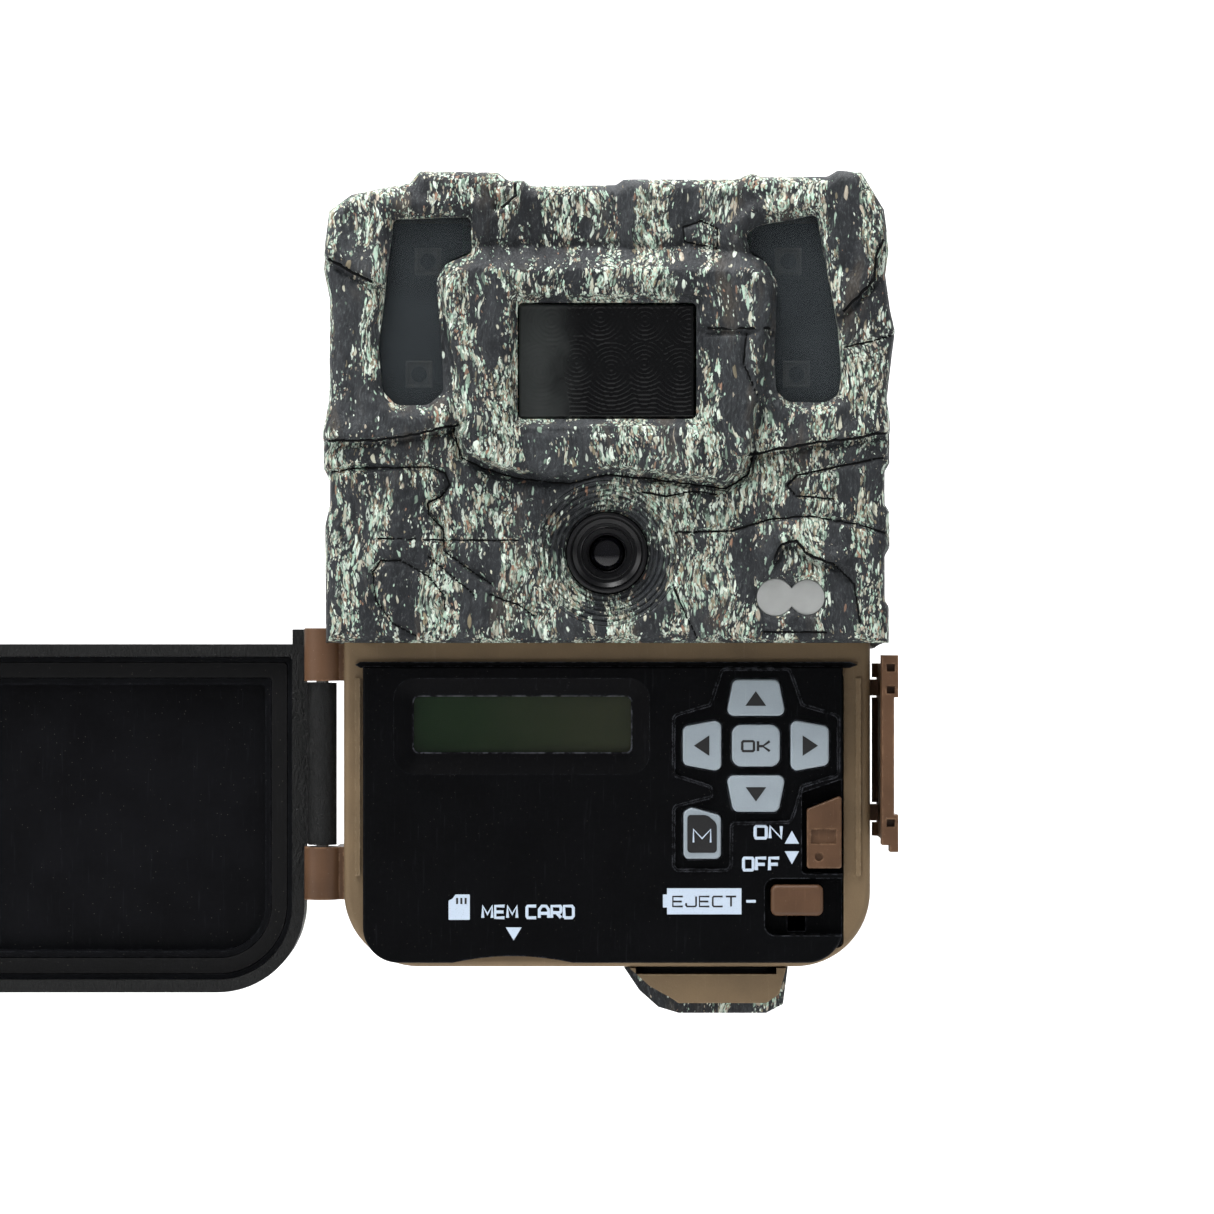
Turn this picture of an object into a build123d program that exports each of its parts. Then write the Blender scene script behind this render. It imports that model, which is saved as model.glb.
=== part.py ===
"""A compact trail camera: bark-pattern casing, drop-out battery tray and a hinged door over the controls.

Frame: origin at the mouth of the threaded socket in the tree bracket, +X to the right as seen by somebody
facing the lens, +Y back towards the tree, +Z up. Millimetres. The door is written standing fully open.
"""

import math
import os

from build123d import *

# ---------------------------------------------------------------- driving dimensions
HALF_WIDTH = 41.0  # widest half width of the patterned casing
HOUSING_HALF_WIDTH = 38.5
WALL = 2.0
GAP = 0.2  # clearance between neighbouring pieces

# depth planes, from the tree towards the front
BACK_Y = -8.5  # back face of the rear shell
BACK_CHAMFER = 1.6
SPLIT_Y = -38.0  # where rear shell and housing meet
FLANGE_Y = -65.0  # face of the housing that the door closes on
PANEL_Y = -66.5  # face of the control panel
FRONT_Y = -73.0  # front face of front cover and closed door
ISLAND_Y = -75.5  # face of the raised surround of the sensor window

# heights
COVER_BOTTOM_Z = 15.0
HOUSING_BOTTOM_Z = -32.4
HOUSING_TOP_Z = 78.6
CAP_BOTTOM_Z = -39.3
LENS_Z = 28.0
WINDOW_Z = 55.7
LIGHT_Z = 21.6
LIGHT_X = 26.6

# door hinge and latch
HINGE_X, HINGE_Y = -41.7, -63.0
KNUCKLE_R = 2.65
BARREL_R = 2.1
PIN_R = 0.9
KNUCKLE_SPANS = [(9.4, 17.1), (-22.6, -14.9)]
BARREL_SPAN = (-14.6, 9.1)
DOOR_TOP_Z, DOOR_BOTTOM_Z = 14.7, -36.5
DOOR_LEFT_X, DOOR_RIGHT_X = -38.9, 39.4
DOOR_RIM_Y = -65.3
SEAL_Y = -66.8  # face of the door's seal when it is shut over the panel
DOOR_WALL = 1.8
LATCH_SPAN = (-15.3, 13.2)
LATCH_PIVOT_X, LATCH_PIVOT_Y = 41.0, -51.0
LATCH_PIN_R = 0.8

# battery tray
CELL_R, CELL_LENGTH = 7.25, 50.5
CELL_PITCH = 14.55
CELL_ROWS, CELL_LEVELS = 3, 2
TRAY_X = (5.4, 23.6)
TRAY_Y = (-58.4, -12.2)
TRAY_TOP_Z = 73.3
BAY_WALL = 1.2
CAP_X = (2.5, 26.5)
CAP_Y = (-64.6, -9.6)

# control panel
PANEL_X, PANEL_Z = (-35.6, 34.4), (-31.7, 11.5)
PANEL_BACK_Y = -62.4
BOARD_T = 1.2
BOARD_Y = -60.1  # rear face of both boards
KEY_PROUD = 0.4
KEY_TRAVEL = 0.6
OK_X, OK_Z = 21.7, 0.0
SLIDER_TRAVEL = 2.0
EJECT_TRAVEL = 2.4

# tree bracket and strap channel
STRAP_Z, STRAP_HALF = 22.0, 14.0
BRACKET_HALF_WIDTH = 20.0
BRACKET_PLATE_Y = -3.2
SOCKET_R, SOCKET_DEPTH, INSERT_R = 2.55, 6.5, 4.0
CASE_SCREWS = [(-33.6, 42.0), (33.6, 42.0), (-34.0, -20.0), (34.0, -20.0)]

os.makedirs("parts", exist_ok=True)


# ---------------------------------------------------------------- helpers
def box(x, y, z):
    """A block given by a pair of limits along each axis, in either order."""
    size = [abs(high - low) for low, high in (x, y, z)]
    middle = [(high + low) / 2 for low, high in (x, y, z)]
    return Pos(*middle) * Box(*size)


def slab(profile, rear_y, front_y, taper=0.0):
    """A profile drawn in X and Z, extruded from one plane to another; taper narrows the far end."""
    return extrude(Plane.XZ.offset(-rear_y) * profile, rear_y - front_y, taper=taper)


def rect(x, z, radius=0.0):
    """A rectangle in X and Z with rounded corners."""
    width, height = x[1] - x[0], z[1] - z[0]
    shape = RectangleRounded(width, height, radius) if radius else Rectangle(width, height)
    return Pos((x[0] + x[1]) / 2, (z[0] + z[1]) / 2) * shape


def outline(points, radius=0.0):
    """A closed polygon in X and Z, listed either way round, with every corner rounded."""
    shape = Polygon(*points, align=None)
    if shape.face().normal_at().Z < 0:
        shape = Polygon(*reversed(points), align=None)
    return fillet(shape.vertices(), radius) if radius else shape


def post(x, z, radius, rear_y, front_y):
    """A round bar along Y."""
    return slab(Pos(x, z) * Circle(radius), rear_y, front_y)


def upright(x, y, radius, span):
    """A round bar along Z."""
    low, high = span
    return Pos(x, y, (low + high) / 2) * Cylinder(radius, high - low)


def grown(profile, amount):
    """A profile made larger all round, or smaller if amount is negative."""
    return offset(profile, amount)


def write(name, *pieces):
    """Writes one node from one solid or several separate ones."""
    solids = [solid for piece in pieces for solid in piece.solids()]
    shape = solids[0] if len(solids) == 1 else Compound(children=solids)
    export_step(shape, f"parts/{name}.step")


def opened(shape):
    """Turns a door piece from closed to fully open about the hinge."""
    return shape.rotate(Axis((HINGE_X, HINGE_Y, 0), (0, 0, 1)), 180)


# ---------------------------------------------------------------- outlines, in X and Z
LEFT_EDGE = [
    (-40.7, COVER_BOTTOM_Z), (-40.8, 32.0), (-40.1, 35.0), (-40.1, 38.4), (-41.0, 40.2), (-41.0, 45.6),
    (-40.2, 50.2), (-40.1, 64.7), (-41.0, 69.0), (-40.7, 73.4), (-40.2, 77.5),
]
TOP_EDGE = [
    (-37.0, 79.9), (-28.4, 81.6), (-27.2, 83.3), (-15.8, 83.1), (-14.4, 82.0), (-12.1, 81.9), (-11.0, 81.1),
    (1.3, 81.3), (2.4, 82.1), (18.5, 82.1), (21.0, 83.0), (22.6, 82.4), (31.9, 82.5), (33.4, 83.4), (36.9, 83.1),
]
RIGHT_EDGE = [
    (40.1, 77.7), (40.8, 71.9), (40.3, 68.3), (41.0, 63.2), (41.7, 60.1), (41.1, 55.3), (40.5, 50.2),
    (40.9, 47.3), (40.9, 41.0), (40.2, 39.8), (40.2, 35.0), (40.9, 34.0), (40.9, 28.8), (40.2, 27.6),
    (40.2, 21.2), (40.8, 20.2), (40.8, COVER_BOTTOM_Z),
]
ISLAND = [
    (-23.6, 69.4), (-20.4, 72.6), (21.0, 72.4), (24.6, 69.0), (23.8, 56.0), (21.6, 47.0), (20.4, 41.4),
    (16.8, 38.8), (0.4, 38.9), (-3.0, 40.2), (-11.0, 40.0), (-14.6, 42.0), (-21.4, 44.6), (-22.4, 56.0),
]
LED_WINDOW_LEFT = [
    (-30.9, 76.4), (-20.0, 76.8), (-19.6, 71.4), (-23.8, 67.0), (-24.3, 52.6), (-27.0, 49.3),
    (-32.0, 49.6), (-34.1, 53.4), (-33.0, 63.0), (-31.2, 69.0),
]
LED_WINDOW_RIGHT = [
    (19.3, 73.8), (28.2, 77.0), (30.6, 76.2), (33.2, 60.4), (33.6, 51.0), (31.6, 49.6), (25.6, 49.6),
    (23.8, 52.4), (23.8, 67.0), (20.4, 70.6),
]
PIR_WINDOW = rect((-12.9, 12.9), (WINDOW_Z - 8.4, WINDOW_Z + 8.4), 1.0)
COVER = outline(LEFT_EDGE + TOP_EDGE + RIGHT_EDGE)
COVER_INSIDE = outline([(-39.0, 12.0), (39.0, 12.0), (39.0, 75.5), (35.4, 79.1), (-35.4, 79.1), (-39.0, 75.5)])
LOWER_CORNERS = fillet(
    rect((-HOUSING_HALF_WIDTH, HOUSING_HALF_WIDTH), (HOUSING_BOTTOM_Z, HOUSING_TOP_Z)).vertices().group_by(Axis.Y)[0],
    11.0,
)
HOUSING = fillet(LOWER_CORNERS.vertices().group_by(Axis.Y)[-1], 5.0)


# ---------------------------------------------------------------- casing
def status_outline(margin=0.0):
    """Two overlapping circles, for the twin indicator window."""
    circles = Pos(LIGHT_X - 2.3, LIGHT_Z) * Circle(2.75 + margin)
    return circles + Pos(LIGHT_X + 2.3, LIGHT_Z) * Circle(2.6 + margin)


def front_cover():
    """The upper front casing, with its raised surround and every window cut through it."""
    shell = slab(COVER, SPLIT_Y, FRONT_Y + 1.4) + slab(COVER, FRONT_Y + 1.4, FRONT_Y, taper=30)
    shell += slab(outline(ISLAND, 1.0), FRONT_Y, ISLAND_Y, taper=20)
    shell -= slab(COVER_INSIDE, SPLIT_Y + 1, FRONT_Y + WALL)
    # the lower lip closes the casing in front of the housing
    shell += slab(rect((-40.0, 40.0), (COVER_BOTTOM_Z, COVER_BOTTOM_Z + 1.6)), FLANGE_Y - GAP, FRONT_Y + 1.0)
    for window in (outline(LED_WINDOW_LEFT, 0.8), outline(LED_WINDOW_RIGHT, 0.8), PIR_WINDOW, status_outline()):
        shell -= slab(window, SPLIT_Y, ISLAND_Y - 1)
    shell -= post(0, LENS_Z, 10.6, FRONT_Y + 3, ISLAND_Y - 1)
    # room for the upper hinge knuckle and for the door's ear
    shell -= box((-45, -38), (HINGE_Y - 4, HINGE_Y + 6), (COVER_BOTTOM_Z - 1, KNUCKLE_SPANS[0][1] + 0.6))
    shell -= box((-41.6, -36.2), (FRONT_Y + WALL, HINGE_Y + 1), (COVER_BOTTOM_Z - 1, KNUCKLE_SPANS[0][1] + 0.6))
    for x, z in CASE_SCREWS[:2]:
        shell += post(x, z, 3.2, -47.0, FRONT_Y + 1) - post(x, z, 1.25, -47.0, -60.0)
    return shell


def housing():
    """The middle body: side walls, the flange that the door closes on, and the bay's mouth."""
    body = slab(HOUSING, SPLIT_Y, FLANGE_Y)
    body = fillet(body.faces().sort_by(Axis.Y)[0].edges(), 1.0)
    body -= slab(grown(HOUSING, -WALL), SPLIT_Y + 1, FLANGE_Y + WALL)
    # the upper front is open to the optics, and the lower front to the control panel
    body -= slab(rect((-36.0, 36.0), (17.6, 76.2), 2.0), SPLIT_Y, FLANGE_Y - 1)
    body -= slab(rect((-33.2, 34.6), (-29.6, 10.8), 1.0), SPLIT_Y, FLANGE_Y - 1)
    # sealing tongues beside the control bay
    for x in (-36.4, 36.7):
        body += box((x - 0.35, x + 0.35), (FLANGE_Y + 0.1, FLANGE_Y - 0.45), (-19.0, 9.8))
    body -= box((TRAY_X[0] - 1.6, TRAY_X[1] + 1.6), (-60.0, SPLIT_Y + 1), (HOUSING_BOTTOM_Z - 1, -29.0))
    body -= box((-25.9, -1.6), (-59.9, -57.2), (HOUSING_BOTTOM_Z - 1, -29.0))
    for x, z in CASE_SCREWS[:2]:
        body -= post(x, z, 3.6, SPLIT_Y + 1, FLANGE_Y - 1)
        lug = box((math.copysign(30.6, x), math.copysign(37.6, x)), (-46.6, -44.6), (z - 3.4, z + 3.4))
        body += lug - post(x, z, 1.7, -44, -47)
    for x, z in CASE_SCREWS[2:]:
        body += post(x, z, 3.2, SPLIT_Y, -46.0) & slab(HOUSING, SPLIT_Y, -46.0)
        body -= post(x, z, 1.25, SPLIT_Y + 1, -45.0)
    return body


def rear_outline():
    """The rear shell: as wide as the front cover above, as narrow as the housing below."""
    upper = outline(
        [(-40.6, 16.0), (-38.2, 11.0), (-38.2, 0.0), (38.2, 0.0), (38.2, 11.0), (40.6, 16.0), (40.6, 76.5), (36.5, 80.8),
         (-36.5, 80.8), (-40.6, 76.5)], 0.9
    )
    lower = fillet(rect((-38.2, 38.2), (HOUSING_BOTTOM_Z + 0.2, 9.0)).vertices().group_by(Axis.Y)[0], 10.8)
    return upper + lower


def rear_shell():
    """The patterned back half, with the strap's channel across it."""
    profile = rear_outline()
    shell = slab(profile, BACK_Y - BACK_CHAMFER, SPLIT_Y)
    shell += slab(profile, BACK_Y - BACK_CHAMFER, BACK_Y, taper=45)
    shell -= slab(grown(profile, -WALL), BACK_Y - WALL, SPLIT_Y - 1)
    shell -= box((TRAY_X[0] - 1.6, TRAY_X[1] + 1.6), (SPLIT_Y - 1, TRAY_Y[1] + 1.6), (HOUSING_BOTTOM_Z - 1, -29.0))
    for z in (-16.0, 56.0):
        for side in (-1, 1):
            ribs = box((side * 29 - 5.5, side * 29 + 5.5), (BACK_Y - 0.1, BACK_Y + 1.2), (z - 9.0, z + 9.0))
            shell += chamfer(ribs.faces().sort_by(Axis.Y)[-1].edges(), 1.0)
    for x, z in CASE_SCREWS:
        shell -= post(x, z, 3.4, BACK_Y + 3, BACK_Y - 0.9)
        shell += post(x, z, 3.6, BACK_Y - 0.9, SPLIT_Y) & slab(profile, BACK_Y, SPLIT_Y)
        shell -= post(x, z, 3.0, BACK_Y + 3, -14.0) + post(x, z, 1.7, BACK_Y, SPLIT_Y - 1)
    for x, z in BRACKET_SCREWS:
        shell += post(x, z, 2.6, BACK_Y, -10.7)
        shell -= post(x, z, 1.2, BACK_Y + 1, -10.8)
    return shell


def case_gasket():
    """A rubber ring in the housing's wall at the split."""
    ring = grown(HOUSING, -WALL - 0.5) - grown(HOUSING, -WALL - 1.7)
    cord = slab(ring, SPLIT_Y + 1.0, SPLIT_Y - 1.0)
    cord -= box((TRAY_X[0] - 2.0, TRAY_X[1] + 2.0), (-45, -30), (-40, -26))
    for x, z in CASE_SCREWS:
        cord -= post(x, z, 4.0, SPLIT_Y + 3, SPLIT_Y - 3)
    return cord


# ---------------------------------------------------------------- control panel
def keycap(x, z, half_inner, half_outer, height, turn):
    """A key that narrows away from the middle key; turn is the way that it points, in degrees from up."""
    shape = outline([(-half_inner, -height / 2), (half_inner, -height / 2), (half_outer, height / 2),
                     (-half_outer, height / 2)], 0.95)
    return Pos(x, z) * Rot(0, 0, turn) * shape


KEYS = {
    "key_ok": rect((OK_X - 3.5, OK_X + 3.5), (OK_Z - 3.05, OK_Z + 3.05), 1.4),
    "key_up": keycap(OK_X, OK_Z + 7.0, 4.35, 3.3, 5.3, 0),
    "key_down": keycap(OK_X, OK_Z - 7.0, 4.35, 3.3, 5.3, 180),
    "key_left": keycap(OK_X - 7.85, OK_Z, 3.8, 2.8, 5.6, 90),
    "key_right": keycap(OK_X + 7.85, OK_Z, 3.8, 2.8, 5.6, 270),
    "key_menu": outline([(11.15, -16.5), (16.6, -16.5), (16.6, -10.2), (12.3, -9.0), (11.15, -9.6)], 0.8),
}
KEY_POCKET = outline(
    [(16.9, 11.0), (26.5, 11.0), (28.3, 5.8), (33.6, 4.2), (33.6, -4.2), (28.3, -5.8), (26.7, -11.0),
     (18.0, -11.2), (17.9, -18.0), (9.9, -18.0), (9.9, -9.0), (15.6, -7.6), (15.2, -5.8), (9.9, -4.2),
     (9.9, 4.2), (15.2, 5.8)], 0.7
)
SLIDER = outline([(29.15, -17.9), (34.2, -17.9), (34.2, -7.3), (29.15, -9.3)], 0.35)
SLIDER_POCKET = outline([(28.4, -18.7), (34.9, -18.7), (34.9, -4.7), (28.4, -6.9)], 0.6)
EJECT = rect((23.9, 31.5), (-24.8, -20.3), 0.9)
EJECT_POCKET = fillet(rect((23.0, 34.9), (-27.7, -19.4)).vertices().group_by(Axis.X)[0], 1.5)
LCD_WINDOW_X, LCD_WINDOW_Z = (-28.2, 3.5), (-1.0, 7.1)


def control_panel():
    """The black face plate with its pockets for the display, the keys, the switch and the tray's release."""
    face = fillet(rect(PANEL_X, PANEL_Z).vertices().group_by(Axis.Y)[0], 5.2)
    plate = slab(face, FLANGE_Y - 0.1, PANEL_Y)
    plate = fillet(plate.faces().sort_by(Axis.Y)[0].edges(), 0.35)
    plate += slab(rect((-33.0, 34.4), (-29.4, 10.6), 0.8), PANEL_BACK_Y, FLANGE_Y - 0.1)
    # thin lip above the panel, where the door's seal lands
    plate += slab(outline([(-36.8, 11.75), (-36.0, 11.3), (35.4, 11.3), (36.6, 11.75), (35.4, 12.2), (-36.0, 12.2)]),
                  FLANGE_Y - 0.1, FLANGE_Y - 0.7)
    plate += slab(rect((-35.0, 34.0), (10.6, 11.6)), FLANGE_Y - 0.1, FLANGE_Y - 0.6)
    # finger notch over the card slot
    plate -= post(-13.75, PANEL_Z[0] - 38.6, 39.6, PANEL_BACK_Y + 1, PANEL_Y - 1) & slab(
        rect(PANEL_X, (PANEL_Z[0] - 1, PANEL_Z[0] + 1.1)), PANEL_BACK_Y + 1, PANEL_Y - 1
    )
    # display: sloping surround, window seat and room for the glass
    outer = Plane.XZ.offset(-PANEL_Y) * rect((-31.1, 6.2), (-4.2, 9.8), 3.0)
    inner = Plane.XZ.offset(-PANEL_Y - 1.4) * rect(LCD_WINDOW_X, LCD_WINDOW_Z, 0.8)
    plate -= loft([inner, outer])
    plate -= slab(rect(LCD_WINDOW_X, LCD_WINDOW_Z, 0.8), PANEL_BACK_Y + 1, PANEL_Y + 1.3)
    plate -= slab(rect((-29.4, 4.7), (-2.2, 8.3), 0.8), PANEL_BACK_Y + 1, PANEL_Y + 1.4)
    # keys: shallow pocket with a fine raised edge, a hole for each cap and a wider seat for its flange
    plate += slab(grown(KEY_POCKET, 0.35), PANEL_Y + 0.1, PANEL_Y - 0.15)
    plate -= slab(KEY_POCKET, PANEL_Y + 0.4, PANEL_Y - 1)
    for key in KEYS.values():
        plate -= slab(grown(key, 0.15), PANEL_BACK_Y + 1, PANEL_Y - 1)
        plate -= slab(grown(key, 0.5), PANEL_BACK_Y + 1, PANEL_Y + 2.1)
    plate -= slab(SLIDER_POCKET, PANEL_Y + 2.3, PANEL_Y - 1)
    plate -= slab(rect((30.2, 31.6), (-16.0, -8.6)), PANEL_BACK_Y + 1, PANEL_Y + 2)
    plate -= slab(EJECT_POCKET, PANEL_Y + 2.3, PANEL_Y - 1)
    plate -= slab(rect((26.4, 29.0), (-27.2, -21.0)), PANEL_BACK_Y + 1, PANEL_Y + 2)
    for x, z in BOARD_SCREWS:
        plate += post(x, z, 1.9, BOARD_Y - BOARD_T - GAP, PANEL_BACK_Y - 0.1)
        plate -= post(x, z, 0.8, BOARD_Y, PANEL_BACK_Y + GAP)
    return plate


def key(profile):
    """A key cap with a softened top and a flange that keeps it in the panel."""
    cap = slab(profile, PANEL_Y + 2.3, PANEL_Y - KEY_PROUD)
    cap = fillet(cap.faces().sort_by(Axis.Y)[0].edges(), 0.3)
    return cap + slab(grown(profile, 0.32), PANEL_Y + 3.1, PANEL_Y + 2.25)


def power_slider():
    """The ribbed thumb slide of the power switch, with its drive tongue."""
    body = slab(SLIDER, PANEL_Y + 2.15, PANEL_Y - 0.1)
    body = fillet(body.faces().sort_by(Axis.Y)[0].edges(), 0.2)
    body -= box((29.7, 33.4), (PANEL_Y - 1, PANEL_Y + 0.25), (-14.3, -12.2))
    body -= post(30.9, -16.2, 0.62, PANEL_Y + 0.3, PANEL_Y - 1)
    return body + box((30.4, 31.4), (PANEL_Y + 2.0, PANEL_BACK_Y + 0.3), (-15.8, -11.0))


def eject_button():
    """The tray's release: a cushion-shaped slide with a stem through the panel."""
    cap = slab(EJECT, PANEL_Y + 2.15, PANEL_Y - 0.5)
    cap = fillet(cap.faces().sort_by(Axis.Y)[0].edges(), 0.6)
    return cap + box((26.6, 28.8), (PANEL_Y + 2.0, -61.6), (-24.4, -21.2))


# ---------------------------------------------------------------- door
def door_profile(inset=0.0):
    """The door's outline, with the large lower corners of the casing."""
    x = (DOOR_LEFT_X + inset, DOOR_RIGHT_X - inset)
    z = (DOOR_BOTTOM_Z + inset, DOOR_TOP_Z - inset)
    lower = fillet(rect(x, z).vertices().group_by(Axis.Y)[0], 12.8 - inset)
    return fillet(lower.vertices().group_by(Axis.Y)[-1], 0.6)


def door_shell():
    """The patterned cover of the controls, with the leaf and barrel of its hinge."""
    shell = slab(door_profile(), DOOR_RIM_Y, FRONT_Y + 1.2) + slab(door_profile(), FRONT_Y + 1.2, FRONT_Y, taper=35)
    shell -= slab(door_profile(DOOR_WALL), DOOR_RIM_Y + 1, FRONT_Y + WALL)
    low, high = BARREL_SPAN
    shell += box((-40.7, DOOR_LEFT_X + 0.1), (DOOR_RIM_Y - 4.0, HINGE_Y - 1.6), (low, high))
    shell += upright(HINGE_X, HINGE_Y, BARREL_R, BARREL_SPAN)
    shell += box((HINGE_X - 1.2, -39.6), (HINGE_Y - 3.2, HINGE_Y - 0.4), (low, high))
    shell -= upright(HINGE_X, HINGE_Y, PIN_R + 0.05, (low - 1, high + 1))
    # ear behind the upper knuckle
    shell += box((-38.7, -37.1), (DOOR_RIM_Y - 4.4, DOOR_RIM_Y - 0.3), (DOOR_TOP_Z - 1, 16.9))
    # catch ridge for the latch
    shell += box((DOOR_RIGHT_X - 0.2, DOOR_RIGHT_X + 0.15), (-69.4, -68.4), (LATCH_SPAN[0] + 2, LATCH_SPAN[1] - 2))
    return shell


def door_gasket():
    """The soft seal in the door's rim."""
    ring = door_profile(DOOR_WALL + 0.9) - door_profile(DOOR_WALL + 3.1)
    return slab(ring, SEAL_Y, SEAL_Y - 1.9)


def door_liner():
    """The inner tray of the door, with the channel for the seal and its stiffening ribs."""
    outer = door_profile(DOOR_WALL + 0.1)
    liner = slab(outer, SEAL_Y - 2.0, FRONT_Y + WALL + 0.1)
    liner += slab(outer - door_profile(DOOR_WALL + 0.8), SEAL_Y - 0.1, SEAL_Y - 2.1)
    liner += slab(door_profile(DOOR_WALL + 3.2) - door_profile(DOOR_WALL + 4.1), SEAL_Y - 0.5, SEAL_Y - 2.1)
    return liner - slab(door_profile(DOOR_WALL + 4.1), SEAL_Y, FRONT_Y + WALL + 1.1)


# ---------------------------------------------------------------- hinge and latch
def hinge_knuckles():
    """The two fixed knuckles, each with its web to the housing's side."""
    found = []
    for span in KNUCKLE_SPANS:
        knuckle = upright(HINGE_X, HINGE_Y, KNUCKLE_R, span)
        web_z = (span[0], min(span[1], COVER_BOTTOM_Z - 0.2))
        knuckle += box((HINGE_X + 1.0, -HOUSING_HALF_WIDTH), (HINGE_Y - 1.0, HINGE_Y + KNUCKLE_R), web_z)
        knuckle += box((-39.6, -HOUSING_HALF_WIDTH), (HINGE_Y + 0.5, HINGE_Y + 8.0), web_z)
        found.append(knuckle - upright(HINGE_X, HINGE_Y, PIN_R, (span[0] - 1, span[1] + 1)))
    return found


def latch_lugs():
    """Two ears on the housing's side that carry the latch pin."""
    found = []
    for low in (-11.6, 7.0):
        ear = box((HOUSING_HALF_WIDTH, LATCH_PIVOT_X), (LATCH_PIVOT_Y - 1.6, LATCH_PIVOT_Y + 1.6), (low, low + 2.4))
        ear += upright(LATCH_PIVOT_X, LATCH_PIVOT_Y, 1.6, (low, low + 2.4))
        found.append(ear - upright(LATCH_PIVOT_X, LATCH_PIVOT_Y, LATCH_PIN_R, (low - 1, low + 4)))
    return found


def latch_lever():
    """The side latch: a hooked front bar, two arms and a pivot tube."""
    low, high = LATCH_SPAN
    lever = box((40.3, 41.7), (-66.6, LATCH_PIVOT_Y), (low + 1.4, high - 1.4))
    lever += box((39.85, 42.2), (-70.6, -66.4), (low, high))
    lever += upright(LATCH_PIVOT_X, LATCH_PIVOT_Y, 1.5, (low + 1.4, high - 1.4))
    for z in (-11.6, 7.0):
        lever -= box((38, 44), (LATCH_PIVOT_Y - 2.4, LATCH_PIVOT_Y + 2.4), (z - 0.3, z + 2.7))
    # blind pockets and the waist of the front bar
    for z in (low + 4.2, high - 5.0, high - 1.8):
        lever -= box((40.5, 41.7), (-71, -69.4), (z - 0.55, z + 0.55))
    lever -= box((41.6, 43), (-71, -66), (low + 5.4, high - 6.1))
    lever -= box((39, 41.0), (-71, -66), (low - 1, low + 1.0))
    return lever - upright(LATCH_PIVOT_X, LATCH_PIVOT_Y, LATCH_PIN_R + 0.05, (low, high))


# ---------------------------------------------------------------- battery tray
def battery_bay():
    """The sleeve that the tray runs in, open at the bottom."""
    x, y = (TRAY_X[0] - GAP, TRAY_X[1] + GAP), (TRAY_Y[0] - GAP, TRAY_Y[1] + GAP)
    outside = box((x[0] - BAY_WALL, x[1] + BAY_WALL), (y[0] - BAY_WALL, y[1] + BAY_WALL), (HOUSING_BOTTOM_Z, TRAY_TOP_Z + BAY_WALL))
    return outside - box(x, y, (HOUSING_BOTTOM_Z - 1, TRAY_TOP_Z + GAP))


def cell_places():
    """The middle of each cell, in X, Y and Z."""
    for row in range(CELL_ROWS):
        for level in range(CELL_LEVELS):
            yield 14.2, TRAY_Y[0] + 1.3 + CELL_R + row * CELL_PITCH, -4.9 + level * 51.4


def battery_tray():
    """The tray that holds the cells, open on its right side."""
    tray = box(TRAY_X, TRAY_Y, (-33.5, TRAY_TOP_Z))
    for level in range(CELL_LEVELS):
        z = -4.9 + level * 51.4
        half = CELL_LENGTH / 2 + 0.2
        tray -= box((6.8, 24.5), (TRAY_Y[0] + 1.2, TRAY_Y[1] - 1.2), (z - half, z + half))
    return tray


def battery_cells():
    """Six cylindrical cells with their positive studs."""
    found = []
    for index, (x, y, z) in enumerate(cell_places()):
        body = Pos(x, y, z - 0.5) * Cylinder(CELL_R, CELL_LENGTH - 1.0)
        body = fillet(body.edges(), 0.5)
        stud = Pos(x, y, z + CELL_LENGTH / 2 - 0.6) * Cylinder(2.7, 1.2)
        cell = body + stud
        found.append(cell.rotate(Axis((x, y, z), (1, 0, 0)), 180) if index % 2 else cell)
    return found


def cap_profile(inset):
    """The end cap seen from the front; the outer shell has no inset, and the inner cap has some."""
    left, right = CAP_X
    bottom, top = CAP_BOTTOM_Z, HOUSING_BOTTOM_Z - 0.2
    return outline([
        (left + 0.5 * inset, top), (left + 2.2 + inset, bottom + 3.4 + 0.4 * inset), (left + 5.0 + inset, bottom + 0.9 + inset),
        (left + 8.0, bottom + inset), (right - 3.2, bottom + inset), (right - 0.7 - 0.4 * inset, bottom + 1.3 + inset),
        (right - 0.2 * inset, top),
    ])


def tray_cap():
    """The plain end cap that closes the bay, with the step that its seal sits on."""
    cap = slab(cap_profile(1.6), CAP_Y[1] - 1.6, CAP_Y[0])
    return cap - box((TRAY_X[0] - 1.2, TRAY_X[1] + 1.2), (CAP_Y[0] - 1, CAP_Y[1] - 2.2), (-33.5, -30))


def tray_cap_cover():
    """The patterned skin round the outside of the end cap."""
    skin = slab(cap_profile(0.0), CAP_Y[1], CAP_Y[0] + 1.6)
    return skin - slab(cap_profile(1.55), CAP_Y[1] - 1.55, CAP_Y[0])


def tray_gasket():
    """The two-lipped seal between end cap and housing."""
    x, y = (TRAY_X[0] - 0.9, TRAY_X[1] + 0.9), (CAP_Y[0] + 1.4, CAP_Y[1] - 2.6)
    found = None
    for inset, span in ((0.0, (-33.4, -33.05)), (0.35, (-33.1, -32.85)), (0.1, (-32.9, -32.6))):
        ring_x, ring_y = (x[0] + inset, x[1] - inset), (y[0] + inset, y[1] - inset)
        ring = fillet(box(ring_x, ring_y, span).edges().filter_by(Axis.Z), 2.0)
        found = ring if found is None else found + ring
    return found - box((TRAY_X[0] - GAP / 4, TRAY_X[1] + GAP / 4), (TRAY_Y[0] - 0.05, TRAY_Y[1] + 0.05), (-35, -30))


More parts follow.
